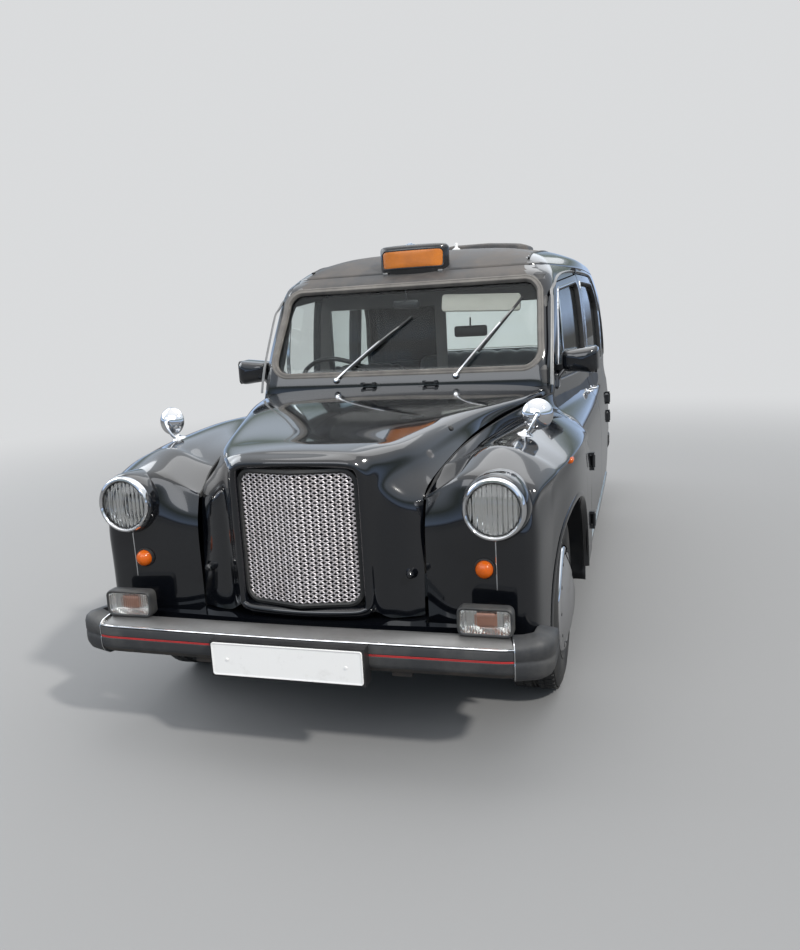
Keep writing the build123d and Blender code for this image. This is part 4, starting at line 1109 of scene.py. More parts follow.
def bonnet_cage():
    cage = Cage()
    edge = {line: (x, height, out_x, out_z) for line, x, height, out_x, out_z in SURROUND_EDGE}
    for line, (x, height, out_x, out_z) in edge.items():
        bow = surround_bow * (min(abs(x), 250) / 250) ** 2 - 10
        for place, out, station in SURROUND_PROFILE:
            cage.add((line, place), (x + out_x * out, station + bow, height + out_z * out))
        cage.add((line, 0), (x + out_x * 4, 189 + (bow + 10) * 0.35, height + out_z * 4))
    for line, places in BONNET_LINES.items():
        for place, point in enumerate(places):
            cage.add((line, place), point)
    for line, height, *places in BONNET_FLANKS:
        for place, (x, station) in enumerate(places):
            cage.add((line, place), (x, station, height))
    lines = [row[0] for row in SURROUND_EDGE]
    across_surround = ["r0", "r1", "r2", "r3", 0]
    for first, second in zip(lines, lines[1:]):
        for inner, outer in zip(across_surround, across_surround[1:]):
            cage.quad((first, inner), (second, inner), (second, outer), (first, outer))
    top = list(BONNET_LINES)
    for first, second in zip(top, top[1:]):
        for place in range(7):
            cage.quad((first, place), (second, place), (second, place + 1), (first, place + 1))
    flank = ["F"] + [row[0] for row in BONNET_FLANKS]
    for first, second in zip(flank, flank[1:]):
        for place in range(3):
            cage.quad((first, place), (second, place), (second, place + 1), (first, place + 1))
    cage.mirror()
    return cage


bonnet = smooth_shell("bonnet_skin", bonnet_cage(), PAINT, 4.0)
settle(bonnet, "bonnet", "body_paint")

# Front wings. Lines along the wing: columns station, x, height
WING_GAP = ((285, 415, 850), (330, 420, 868), (425, 438, 914), (660, 478, 966), (1000, 556, 1011),
            (1250, 633, 1037),
            (1466, 701, 1059))
WING_SLOPE = ((262, 500, 893), (330, 500, 926), (430, 522, 955), (660, 562, 982), (1000, 624, 1003),
              (1250, 680, 1012), (1466, 713, 1007))
WING_CREST = ((250, 600, 916), (330, 612, 960), (430, 642, 985), (660, 684, 1000), (1000, 726, 1006),
              (1250, 746, 995), (1466, 754, 964))
WING_SHOULDER = ((268, 738, 880), (320, 780, 898), (430, 804, 912), (660, 840, 926), (1000, 856, 932),
                 (1250, 856, 924), (1466, 832, 896))
# Plan of the wing below its shoulder: columns x, station
WING_FRONT = ((413, 250), (500, 224), (620, 214), (742, 214))
# columns: station, x of the flat side
WING_SIDE = ((300, 783), (412, 797), (470, 805), (560, 820), (680, 842), (800, 858), (920, 866), (1040, 869),
             (1130, 869), (1188, 869), (1300, 869), (1466, 868))
wing_foot_height = 348
arch_centre = (800, 343)
arch_mouth = 390


def along_line(table, station):
    table = np.array(table, float)
    return (float(gentle(table[:, 0], table[:, 1], [station])[0]),
            float(gentle(table[:, 0], table[:, 2], [station])[0]))


def arch_height(station):
    away = station - arch_centre[0]
    if abs(away) >= arch_mouth:
        return wing_foot_height
    return max(wing_foot_height, arch_centre[1] + sqrt(arch_mouth ** 2 - away ** 2))


def wing_cage():
    cage = Cage()
    top_points = [(WING_GAP[0][1], WING_GAP[0][0], WING_GAP[0][2]),
                  (WING_SLOPE[0][1], WING_SLOPE[0][0], WING_SLOPE[0][2]),
                  (WING_CREST[0][1], WING_CREST[0][0], WING_CREST[0][2]),
                  (WING_SHOULDER[0][1], WING_SHOULDER[0][0], WING_SHOULDER[0][2])]
    columns = []
    for (x, station), top in zip(WING_FRONT, top_points):
        columns.append(((x, station), wing_foot_height, top, 1.0))
    for station, x in WING_SIDE:
        top_x, top_z = along_line(WING_SHOULDER, station)
        columns.append(((x, station), arch_height(station), (top_x, station, top_z), 1.0))
    shares = (0, 0.25, 0.5, 0.74, 0.9, 1.0)
    for k, ((x, station), low, top, _) in enumerate(columns):
        for level, share in enumerate(shares):
            height = low + (top[2] - low) * share
            lean = max(0.0, (share - 0.74) / 0.26) ** 1.6
            cage.add((k, level), (x + (top[0] - x) * lean, station + (top[1] - station) * lean, height))
    last = len(shares) - 1
    for k in range(len(columns) - 1):
        for level in range(last):
            cage.quad((k, level), (k + 1, level), (k + 1, level + 1), (k, level + 1))
    stations = [None] + [station for station, x in WING_SIDE]
    tables = (WING_GAP, WING_SLOPE, WING_CREST)
    for place, station in enumerate(stations):
        for row, table in enumerate(tables):
            if place == 0:
                cage.places[("top", 0, row)] = cage.places[(row, last)]
                continue
            start = table[0][0]
            at = max(start + (300 - start) * 0.6, station) if place == 1 else station
            x, z = along_line(table, at)
            cage.add(("top", place, row), (x, at, z))
        cage.places[("top", place, 3)] = cage.places[(place + 3, last)]
    for place in range(len(stations) - 1):
        for row in range(3):
            cage.quad(("top", place, row), ("top", place, row + 1), ("top", place + 1, row + 1),
                      ("top", place + 1, row))
    return cage


wing_left = smooth_shell("front_wing_skin_left", wing_cage(), PAINT, 4.0)
wing_right = mirrored(wing_left, "front_wing_skin_right")
for wing in (wing_left, wing_right):
    settle(wing, "root", "body_paint")

# Finishes for the solids that stay in sight
FRAME_FINISHES = (
    (INNER_PAINT, "cab_frame", "rear_wings", "boot_lid", "door_front_left", "door_front_right",
     "door_rear_left", "door_rear_right"),
    (PAINT, "front_apron"),
    (BLACK_PLASTIC, "plate_plinth"),
    (CARPET, "floor_pan"),
    (CHASSIS, "chassis_frame", "fuel_tank", "front_axle", "knuckle_left", "knuckle_right", "rear_axle"),
    (CAST_METAL, "engine", "radiator"),
    (STAINED_STEEL, "exhaust", "drive_shaft"),
    (TRIM, "dashboard", "partition", "steering_wheel"),
    (VINYL, "driver_seat", "rear_bench"),
    (SATIN_METAL, "front_bumper", "rear_bumper"),
    (BUMPER_RUBBER, "bumper_ends"),
    (PLATE_WHITE, "front_plate"),
    (CHROME, "rim_front_left", "rim_front_right", "rim_rear_left", "rim_rear_right", "wing_mirrors"),
    (TYRE_RUBBER, "tyre_front_left", "tyre_front_right", "tyre_rear_left", "tyre_rear_right"),
)
for material, *names in FRAME_FINISHES:
    for name in names:
        solid = bpy.data.objects[name]
        solid.data.materials.clear()
        solid.data.materials.append(material)

tail_inner_top = 1.15


def lower_tail():
    """The tail's inner panels and the boot's hinge straps, cut from the solid below the back window."""
    form = bmesh.new()
    form.from_mesh(bpy.data.objects["tail_shell"].data)
    bmesh.ops.remove_doubles(form, verts=form.verts, dist=1e-5)
    everything = list(form.verts) + list(form.edges) + list(form.faces)
    cut = bmesh.ops.bisect_plane(form, geom=everything, plane_co=(0, 0, tail_inner_top), plane_no=(0, 0, 1),
                                 clear_outer=True)
    rim = [part for part in cut["geom_cut"] if isinstance(part, bmesh.types.BMEdge)]
    bmesh.ops.triangle_fill(form, use_beauty=True, edges=rim, normal=(0, 0, 1))
    mesh = bpy.data.meshes.new("tail_inner")
    form.to_mesh(mesh)
    form.free()
    return link("tail_inner", mesh, INNER_PAINT)


settle(lower_tail(), "root", "body_paint")


# Helpers for trim and lamps
def stack(name, outline, levels, material, across=(1, 0, 0), upward=(0, 0, 1), onward=(0, 1, 0),
          centre=(0, 0, 0),
          sharp=40, hollow=False):
    """A form from one flat outline in mm, moved in by an amount at each distance onwards."""
    across, upward, onward = (np.asarray(axis, float) for axis in (across, upward, onward))
    rows = []
    for inset, along in levels:
        ring = moved_in(np.asarray(outline, float), inset) if inset else np.asarray(outline, float)
        rows.append(np.asarray(centre, float) + ring[:, :1] * across + ring[:, 1:] * upward + along * onward)
    count = len(outline)
    faces = []
    for level in range(len(levels) - (0 if hollow else 1)):
        here, there = level * count, (level + 1) % len(levels) * count
        for place in range(count):
            follow = (place + 1) % count
            faces.append((here + place, here + follow, there + follow, there + place))
    if not hollow:
        faces.append(tuple(range(count)))
        faces.append(tuple(range((len(levels) - 1) * count, len(levels) * count)))
    return mesh_piece(name, placed(np.concatenate(rows)), faces, material, sharp=sharp)


def strip(name, points, normals, section, material, closed=True, sharp=35):
    """A section of (outwards over the face, off the face) points in mm, carried along a line on a face."""
    points, normals = np.asarray(points, float), np.asarray(normals, float)
    ahead = np.roll(points, -1, 0) - np.roll(points, 1, 0)
    if not closed:
        ahead[0], ahead[-1] = points[1] - points[0], points[-1] - points[-2]
    ahead /= np.linalg.norm(ahead, axis=1)[:, None]
    side = np.cross(ahead, normals)
    side /= np.linalg.norm(side, axis=1)[:, None]
    section = np.asarray(section, float)
    rows = points[:, None] + side[:, None] * section[None, :, :1] + normals[:, None] * section[None, :, 1:]
    count, size = len(points), len(section)
    faces = []
    for place in range(count if closed else count - 1):
        here, there = place * size, (place + 1) % count * size
        for corner in range(size):
            follow = (corner + 1) % size
            faces.append((here + corner, here + follow, there + follow, there + corner))
    if not closed:
        faces.append(tuple(range(size)))
        faces.append(tuple(range((count - 1) * size, count * size)))
    return mesh_piece(name, placed(rows.reshape(-1, 3)), faces, material, sharp=sharp)


def rounded_line(points, radii, steps=8):
    """An open line whose inner corners are arcs."""
    points = [np.asarray(point, float) for point in points]
    rows = [points[0]]
    for index in range(1, len(points) - 1):
        corner = points[index]
        before, after = points[index - 1] - corner, points[index + 1] - corner
        before, after = before / np.linalg.norm(before), after / np.linalg.norm(after)
        half_turn = np.arccos(np.clip(np.dot(before, after), -1, 1)) / 2
        reach = min(radii[index - 1] / tan(half_turn), 0.48 * np.linalg.norm(points[index + 1] - corner),
                    0.48 * np.linalg.norm(points[index - 1] - corner))
        weight = sin(half_turn)
        start, end = corner + before * reach, corner + after * reach
        for step in range(steps + 1):
            t = step / steps
            parts = ((1 - t) ** 2, 2 * weight * t * (1 - t), t ** 2)
            rows.append((parts[0] * start + parts[1] * corner + parts[2] * end) / sum(parts))
    rows.append(points[-1])
    return np.array(rows)


def in_plan(line, height):
    return placed([(x, station, height) for x, station in line])


def flat_ellipse(width, height, sides=12):
    return [(width / 2 * cos(turn), height / 2 * sin(turn)) for turn in
            (index * 2 * pi / sides for index in range(sides))]


def on_face(outline_u, lift=0.0):
    points, normals = BODY.at(outline_u)
    return points + normals * lift, normals


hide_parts("bonnet")
for wing in (wing_left, wing_right):
    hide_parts("front_wings")


def wing_side_x(station):
    """How far out the flat side of the front wing is at a station."""
    stations, widths = np.array(WING_SIDE, float).T
    return float(gentle(stations, widths, [station])[0])


# Wheel house liners behind the front wings
def wheel_house(name):
    """A curved lining over the wheel with a wall on its inner side."""
    turns = np.linspace(radians(-8), radians(188), 40)
    rows = []
    for behind_side, radius in ((14, arch_mouth + 3), (30, 401)):
        rows.append([(wing_side_x(arch_centre[0] - arch_mouth * cos(turn)) - behind_side,
                      arch_centre[0] - radius * cos(turn), arch_centre[1] + radius * sin(turn))
                      for turn in turns])
    rows.append([(396, station, height) for _, station, height in rows[-1]])
    rows.append([(393, station, max(height, 330)) for _, station, height in rows[-1]])
    rows.append([(393, station, min(height, 470)) for _, station, height in rows[-1]])
    count = len(turns)
    faces = []
    for level in range(len(rows) - 1):
        for place in range(count - 1):
            faces.append((level * count + place, level * count + place + 1, (level + 1) * count + place + 1,
                          (level + 1) * count + place))
    piece = mesh_piece(name, placed(np.concatenate(rows)), faces, INNER_PAINT, outward=False)
    wall = piece.modifiers.new("wall", "SOLIDIFY")
    wall.thickness = 0.004
    wall.offset = 0
    return plain(piece)


for piece in both_sides("wheel_house", wheel_house):
    settle(piece, "root", "chassis_black", "front_wings")


# Rolled lip round the wheel arch
def arch_lip(name):
    turns = np.linspace(radians(1), radians(179), 60)
    line = [(wing_side_x(arch_centre[0] - arch_mouth * cos(turn)),
             arch_centre[0] - (arch_mouth + 1) * cos(turn),
             arch_centre[1] + (arch_mouth + 1) * sin(turn)) for turn in turns]
    normals = np.tile((1.0, 0.0, 0.0), (len(line), 1))
    section = [(-3, 3), (4, 4), (12, 3), (20, -1), (14, -7), (-6, -22), (-9, -20), (-7, -6)]
    return strip(name, line, normals, [(-a, b) for a, b in section], PAINT, closed=False)


for piece in both_sides("arch_lip", arch_lip):
    settle(piece, "root", "body_paint", "front_wings")

# Grille mesh: flattened strands in a lattice, folded down the middle
grille_half_width = 208
grille_foot, grille_top = 504, 956
grille_fold_station, grille_side_station = 150, 200


def lattice_tree():
    """Geometry nodes for an expanded metal sheet in the XZ plane, folded along X = 0."""
    tree = bpy.data.node_groups.new("Expanded_mesh", "GeometryNodeTree")
    for label, kind, value in (("Columns", "NodeSocketInt", 17), ("Rows", "NodeSocketInt", 28),
                               ("Cell width", "NodeSocketFloat", 0.0245),
                               ("Cell height", "NodeSocketFloat", 0.0161),
                               ("Strand", "NodeSocketFloat", 0.0062),
                               ("Thickness", "NodeSocketFloat", 0.0016),
                               ("Fold", "NodeSocketFloat", 0.24), ("Metal", "NodeSocketMaterial", None)):
        socket = tree.interface.new_socket(label, in_out="INPUT", socket_type=kind)
        if value is not None:
            socket.default_value = value
    tree.interface.new_socket("Geometry", in_out="OUTPUT", socket_type="NodeSocketGeometry")
    nodes, links = tree.nodes, tree.links
    given = nodes.new("NodeGroupInput").outputs

    def maths(operation, first, second=None):
        return linked(nodes, links, "ShaderNodeMath",
                      {0: first} | ({1: second} if second is not None else {}),
                      operation=operation).outputs[0]

    width = maths("MULTIPLY", given["Cell width"], maths("SUBTRACT", given["Columns"], 1.0))
    tall = maths("MULTIPLY", given["Cell height"], maths("SUBTRACT", given["Rows"], 1.0))
    grid = linked(nodes, links, "GeometryNodeMeshGrid",
                  {"Size X": width, "Size Y": tall, "Vertices X": given["Columns"],
                                                         "Vertices Y": given["Rows"]})
    stand = linked(nodes, links, "GeometryNodeTransform", {"Geometry": grid.outputs["Mesh"],
                                                          "Rotation": (pi / 2, 0.0, 0.0)})
    ring = linked(nodes, links, "GeometryNodeCurvePrimitiveCircle", {"Resolution": 4, "Radius": 1.0})
    half_wide = maths("MULTIPLY", given["Cell width"], 0.5)
    half_tall = maths("MULTIPLY", given["Cell height"], 0.5)
    scale = linked(nodes, links, "ShaderNodeCombineXYZ", {"X": half_wide, "Y": half_tall, "Z": 1.0})
    cell = linked(nodes, links, "GeometryNodeTransform", {"Geometry": ring.outputs["Curve"],
                                                         "Scale": scale.outputs["Vector"]})
    upright = linked(nodes, links, "GeometryNodeTransform", {"Geometry": cell.outputs["Geometry"],
                                                            "Rotation": (pi / 2, 0.0, 0.0)})
    section = linked(nodes, links, "GeometryNodeCurvePrimitiveQuadrilateral", {"Width": given["Strand"],
                                                                              "Height": given["Thickness"]})
    strand = linked(nodes, links, "GeometryNodeCurveToMesh", {"Curve": upright.outputs["Geometry"],
                                                             "Profile Curve": section.outputs["Curve"]})
    copies = linked(nodes, links, "GeometryNodeInstanceOnPoints", {"Points": stand.outputs["Geometry"],
                                                                  "Instance": strand.outputs["Mesh"]})
    real = linked(nodes, links, "GeometryNodeRealizeInstances", {"Geometry": copies.outputs["Instances"]})
    place = nodes.new("GeometryNodeInputPosition")
    parts = linked(nodes, links, "ShaderNodeSeparateXYZ", {"Vector": place.outputs["Position"]})
    away = maths("ABSOLUTE", parts.outputs["X"])
    back_off = linked(nodes, links, "ShaderNodeCombineXYZ", {"Y": maths("MULTIPLY", away, given["Fold"])})
    folded = linked(nodes, links, "GeometryNodeSetPosition", {"Geometry": real.outputs["Geometry"],
                                                             "Offset": back_off.outputs["Vector"]})
    coated = linked(nodes, links, "GeometryNodeSetMaterial", {"Geometry": folded.outputs["Geometry"],
                                                             "Material": given["Metal"]})
    links.new(coated.outputs["Geometry"], nodes.new("NodeGroupOutput").inputs["Geometry"])
    return tree


def run_tree(name, tree, values):
    """A plain mesh from a geometry nodes tree with its named inputs set."""
    mesh = bpy.data.meshes.new(name)
    mesh.from_pydata([(0, 0, 0)], [], [])
    piece = link(name, mesh)
    modifier = piece.modifiers.new("build", "NODES")
    modifier.node_group = tree
    for item in tree.interface.items_tree:
        if item.in_out == "INPUT" and item.name in values:
            modifier[item.identifier] = values[item.name]
    return plain(piece)


grille = run_tree("grille_lattice", lattice_tree(), {"Metal": GRILLE_METAL})
middle_height = (grille_foot + grille_top) / 2
fold = (grille_side_station - grille_fold_station) / grille_half_width
grille_shift = placed([(0, grille_fold_station, middle_height)])[0]
form = bmesh.new()
form.from_mesh(grille.data)
for vertex in form.verts:
    vertex.co += Vector(grille_shift)
corner_reach = 52 * MM
outside = []
for vertex in form.verts:
    x, z = abs(vertex.co.x), abs(vertex.co.z - middle_height * MM)
    dx = x - (grille_half_width * MM - corner_reach)
    dz = z - ((grille_top - grille_foot) / 2 * MM - corner_reach)
    if dx > 0 and dz > 0 and hypot(dx, dz) > corner_reach + 0.004:
        outside.append(vertex)
bmesh.ops.delete(form, geom=outside, context="VERTS")
form.to_mesh(grille.data)
form.free()
settle(grille, "bonnet", "bright_metal", "grille_mesh")


def grille_frame():
    """A dark channel that holds the edge of the mesh."""
    outline = rounded_polygon([(-grille_half_width, grille_foot), (grille_half_width, grille_foot),
                               (grille_half_width, grille_top), (-grille_half_width, grille_top)], [48] * 4,
                               10)
    outline = evenly(outline, 20.0)
    points = [(x, grille_fold_station + abs(x) * fold, z) for x, z in outline]
    normals = np.tile((0.0, -1.0, 0.0), (len(points), 1))
    section = [(-9, -8), (-9, 5), (-3, 9), (6, 6), (8, -8)]
    return strip("grille_frame", points, normals, section, BLACK_RUBBER)


settle(grille_frame(), "bonnet", "black_plastic")
# A flat black sheet behind the mesh stands in for the dark space behind the grille: painted shade.
shade_sheet = stack("grille_backing", rounded_rectangle(216, 236, 50), ((0, 262), (0, 265)), BLACK_RUBBER,
                centre=(0, 0, middle_height))
settle(shade_sheet, "bonnet", "black_plastic")

# Bonnet locks, plug and gap beading
for side in (1, -1):
    lock = lathe(f"bonnet_lock_{'left' if side > 0 else 'right'}",
                 ((0, -34), (6, -33), (11, -28), (14, -20), (15, -8), (17, -4), (19, 2), (19, 12)),
                 (side * 366, 238, 604), PAINT, steps=32)
    settle(lock, "bonnet", "body_paint")


def gap_beading(name):
    line = smooth_path([(x - 1.5, station, z - 1) for station, x, z in WING_GAP], 6)
    normals = np.tile((0.35, 0.0, 0.94), (len(line), 1))
    return strip(name, line, normals, [(-4, -10), (-4, 1), (0, 4), (4, 1), (4, -10)], BLACK_RUBBER,
                 closed=False)


for piece in both_sides("gap_beading", gap_beading):
    settle(piece, "root", "black_plastic")


# Lamps
def fluted(name, base, ribs, strength, depth=0.002):
    """Lamp glass with upright ribs moulded in it."""
    material = base.copy()
    material.name = name
    nodes, links = material.node_tree.nodes, material.node_tree.links
    place = nodes.new("ShaderNodeTexCoord")
    wave = linked(nodes, links, "ShaderNodeTexWave", {"Vector": place.outputs["Object"], "Scale": ribs,
                                                      "Distortion": 0.0})
    relief = linked(nodes, links, "ShaderNodeBump", {"Height": wave.outputs["Fac"], "Strength": strength,
                                                     "Distance": depth})
    links.new(relief.outputs["Normal"], nodes["Principled BSDF"].inputs["Normal"])
    return material


RIBBED_GLASS = fluted("ribbed_lamp_glass", LAMP_GLASS, 26.0, 0.55)
FINE_RIBBED_GLASS = fluted("fine_ribbed_glass", LAMP_GLASS, 40.0, 0.5)
RIBBED_REFLECTOR = fluted("ribbed_reflector", REFLECTOR, 20.0, 0.9, 0.003)
FINE_RIBBED_REFLECTOR = fluted("fine_ribbed_reflector", REFLECTOR, 34.0, 0.9, 0.002)
headlamp_place = (652, 182, 833)
headlamp_lean = (0.0, -1.0, 0.02)


def headlamp(name):
    bezel = lathe("bezel", ((98, -40), (100, -14), (100, -2), (98, 6), (94, 11), (89, 12), (85, 9), (83, 3),
                            (86, -4), (90, -40)), headlamp_place, CHROME, headlamp_lean, 96, closed=True)
    ring = lathe("ring", ((86, 3), (83.5, 6), (81, 5), (80, 1), (82, -3), (86, -3)), headlamp_place,
                 BLACK_RUBBER,
                 headlamp_lean, 96, closed=True)
    glass = lathe("glass", ((0, 24), (20, 23.2), (40, 20.5), (58, 15.5), (72, 9), (80, 4), (84, 0), (84, -3),
                            (79, 0), (70, 5.5), (56, 12), (40, 17), (20, 19.8), (0, 20.5)), headlamp_place,
                  RIBBED_GLASS, headlamp_lean, 96)
    bowl = lathe("bowl", ((84, -2), (76, -22), (62, -42), (43, -58), (22, -68), (8, -71), (0, -71), (0, -74),
                          (10, -74),
                          (24, -71), (45, -61), (65, -45), (79, -24), (88, -4)), headlamp_place,
                 RIBBED_REFLECTOR,
                 headlamp_lean, 96)
    parts = []
    for height in (-1, 1):
        parts.append(block("shade",
                           (headlamp_place[0] - 34, headlamp_place[1] + 20, headlamp_place[2] + height * 26),
                           (headlamp_place[0] + 34, headlamp_place[1] + 24, headlamp_place[2] + height * 30),
                           REFLECTOR, 1))
    bulb = lathe("bulb", ((0, -14), (9, -16), (13, -24), (13, -40), (9, -48), (9, -70)), headlamp_place,
                 CHROME,
                 headlamp_lean, 32)
    pod = lathe("pod", ((106, -160), (110, -90), (109, -40), (105, -18), (101, -11), (92, -11), (92, -160)),
                headlamp_place, PAINT, headlamp_lean, 96, closed=True)
    return merged(name, [bezel, ring, glass, bowl, bulb, pod] + parts)


for piece in both_sides("headlamp", headlamp):
    settle(piece, "root", "lamp_glass", "headlamps")

indicator_place = (612, 214, 635)


def indicator(name):
    lens = lathe("lens", ((0, -34), (9, -33), (18, -29), (25, -22), (28, -13), (28, -4), (30, -2), (30, 2)),
                 indicator_place, AMBER, steps=48)
    ring = lathe("ring", ((30, -8), (33, -7), (34, -3), (34, 3), (28, 3), (28, -5)), indicator_place,
                 BLACK_RUBBER,
                 steps=48, closed=True)
    return merged(name, [lens, ring])


for piece in both_sides("indicator", indicator):
    settle(piece, "root", "amber_lens", "front_lamps")

fog_place = (627, 106, 498)


def fog_lamp(name):
    outline = rounded_rectangle(88, 47, 22)
    case = stack("case", outline, ((10, 46), (2, 40), (0, 30), (0, 6), (2, 1), (5, 0), (8, 2), (9, 34)),
                 LAMP_CASE, centre=fog_place)
    frame_line = rounded_rectangle(83, 42, 18)
    points = [(fog_place[0] + x, fog_place[1] - 1, fog_place[2] + z) for x, z in frame_line]
    normals = np.tile((0.0, -1.0, 0.0), (len(points), 1))
    rim = strip("rim", points, normals, [(-4, -4), (-4, 1.5), (-1.5, 3), (1.5, 3), (4, 0.5), (4, -4)],
                LAMP_CASE)
    back_bowl = stack("back_bowl", rounded_rectangle(77, 37, 14),
                      ((0, 4), (5, 13), (12, 21), (16, 25), (16, 27), (4, 15),
                                                                   (-2, 4)), FINE_RIBBED_REFLECTOR,
                      centre=fog_place, hollow=True)
    back_plate = stack("back_plate", rounded_rectangle(63, 23, 8), ((0, 25), (0, 27)), FINE_RIBBED_REFLECTOR,
                       centre=fog_place)
    # A warm patch at the middle of the bowl: a painted glow.
    glow = stack("glow", rounded_rectangle(34, 20, 9), ((0, 24), (0, 22), (6, 19)), PAINTED_WARM_GLOW,
                 centre=fog_place)
    back_bowl = merged("back_bowl_whole", [back_bowl, back_plate, glow])
    glass = stack("glass", rounded_rectangle(80, 40, 16), ((0, 5), (0, 0), (3, -3), (9, -5)),
                  FINE_RIBBED_GLASS,
                  centre=fog_place)
    stem = block("stem", (fog_place[0] - 26, 146, 465), (fog_place[0] + 26, 216, 505), CHASSIS, 5)
    foot = block("foot", (fog_place[0] - 34, 112, 448), (fog_place[0] + 34, 146, 455), BLACK_PLASTIC, 3)
    return merged(name, [case, rim, back_bowl, glass, stem, foot])


for piece in both_sides("fog_lamp", fog_lamp):
    settle(piece, "root", "lamp_glass", "front_lamps")


def side_repeater(name):
    outline = rounded_rectangle(27, 10, 9)
    return stack(name, outline, ((0, -8), (0, 3), (2, 8), (6, 11), (9, 12)), AMBER, across=(0, 1, 0),
                 upward=(0, 0, 1), onward=(1, 0, 0), centre=(846, 640, 905))


for piece in both_sides("side_repeater", side_repeater):
    settle(piece, "root", "amber_lens", "front_lamps")

# Bumpers: a swept metal bar with a rubber face, a red line in it and rubber ends
BUMPER_PLAN = ((-826, 262), (-826, 108), (-700, 62), (0, 50), (700, 62), (826, 108), (826, 262))
BUMPER_RADII = (70, 240, 8000, 240, 70)
bumper_seam_x = 720
bumper_line = evenly(rounded_line(BUMPER_PLAN, BUMPER_RADII, 10), 30.0, closed=False)
middle_line = np.array([point for point in bumper_line if abs(point[0]) < bumper_seam_x])
seam_station = float(np.interp(bumper_seam_x, [p[0] for p in bumper_line if p[1] < 104 and p[0] > 0],
                               [p[1] for p in bumper_line if p[1] < 104 and p[0] > 0]))
middle_line = np.concatenate([[(-bumper_seam_x + 1, seam_station)], middle_line,
                              [(bumper_seam_x - 1, seam_station)]])
end_line = np.concatenate([[(bumper_seam_x, seam_station)],
                           [point for point in bumper_line if point[0] > bumper_seam_x + 3]])
BAR_TOP = ((-3, 431), (-1, 433), (-4, 436), (-46, 450), (-52, 452), (-60, 452), (-60, 446), (-54, 445),
           (-10, 431))
BRIGHT_LINE = ((0, 427), (3, 428), (4, 430), (3, 432), (0, 433), (-6, 433), (-6, 427))
RUBBER_FACE = ((-6, 352), (0, 350), (5, 356), (6.5, 364), (7, 380), (7, 387), (5, 389), (5, 396), (7, 398),
               (6.5, 418), (4, 425), (-6, 427))
RED_LINE = ((4, 389.4), (6.4, 389.6), (6.4, 391.3), (4, 391.5))
BAR_FOOT = ((0, 352), (-3, 344), (-12, 334), (-30, 328), (-58, 328), (-58, 336), (-30, 338), (-14, 344),
            (-8, 352))
END_CAP = ((4, 344), (8, 354), (9, 372), (9, 386), (7, 389), (7, 396), (9, 399), (8.5, 426), (3, 438),
           (-10, 447), (-34, 454), (-56, 458), (-60, 451), (-60, 326), (-50, 318), (-20, 320), (-2, 332))
cap_shoulder_rise = 16
cap_tail_drop = 26


def bumper_bar(name):
    path = in_plan(middle_line, 0)
    parts = [sweep(label, path, section, material) for label, section, material in (
        ("top", BAR_TOP, SATIN_METAL), ("bright", BRIGHT_LINE, CHROME), ("face", RUBBER_FACE, BUMPER_RUBBER),
        ("red", RED_LINE, RED_STRIPE), ("foot", BAR_FOOT, CHASSIS))]
    parts.append(sweep("red_upper", path, [(a, b + 3.6) for a, b in RED_LINE], RED_STRIPE))
    return merged(name, parts)


def bumper_end(name):
    """A rubber end whose top scoops up to a shoulder at the corner."""
    cap = sweep("cap", in_plan(end_line, 0), END_CAP, BUMPER_RUBBER)
    for vertex in cap.data.vertices:
        reach = min(1.0, max(0.0, (vertex.co.x / MM - bumper_seam_x - 14) / 58))
        upper = min(1.0, max(0.0, (vertex.co.z / MM - 428) / 40))
        back = min(1.0, max(0.0, (vertex.co.y / MM + overall_length / 2 - 110) / 150))
        rise = cap_shoulder_rise * reach * reach * (3 - 2 * reach) * (1 - back)
        vertex.co.z += MM * upper * (rise - cap_tail_drop * back)
    seam_line = [(bumper_seam_x - 1, seam_station), (bumper_seam_x + 2, seam_station + 0.7)]
    seam = sweep("seam", in_plan(seam_line, 0), [(a + 1.2, b + 0.6) for a, b in END_CAP], BRIGHT_TRIM)
    return merged(name, [cap, seam])


def turned_to_rear(piece, name):
    """The same bumper at the cab's tail."""
    mesh = piece.data.copy()
    mesh.transform(Matrix.Scale(-1, 4, (0, 1, 0)))
    mesh.flip_normals()
    rear = link(name, mesh)
    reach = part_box("rear_bumper")[1][1]
    own = max(vertex.co.y for vertex in mesh.vertices)
    mesh.transform(Matrix.Translation((0, reach - own, 0)))
    return rear


front_bar = settle(bumper_bar("front_bumper_bar"), "root", "bumper_metal", "front_bumper")
settle(turned_to_rear(front_bar, "rear_bumper_bar"), "root", "bumper_metal", "rear_bumper")
rear_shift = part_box("rear_bumper")[1][1] - max(-vertex.co.y for vertex in front_bar.data.vertices)
for cap in both_sides("front_bumper_end", bumper_end):
    settle(cap, "root", "bumper_rubber", "bumper_ends")
    mesh = cap.data.copy()
    mesh.transform(Matrix.Translation((0, rear_shift, 0)) @ Matrix.Scale(-1, 4, (0, 1, 0)))
    mesh.flip_normals()
    settle(link(cap.name.replace("front", "rear"), mesh), "root", "bumper_rubber", "bumper_ends")


# Plates: blank, each with a pressed edge and two caps
def plate(name, station, facing, middle):
    outline = rounded_rectangle(260, 55.5, 9)
    sheet = stack("sheet", outline, ((0, 5), (0, 1.5), (1, 0.4), (4, 0.4), (5.5, 1.6), (8, 1.6)), PLATE_WHITE,
                  onward=(0, facing, 0), centre=(0, station, middle))
    caps = [lathe("cap", ((0, -1.2), (4, -1.0), (5.5, 0.4), (5.5, 2)), (x, station, middle), PLATE_WHITE,
                  (0, facing, 0), 20) for x in (-205, 205)]
    return merged(name, [sheet] + caps)


settle(plate("front_number_plate", 0.4, 1, 366), "root", "plate_white", "front_plate")

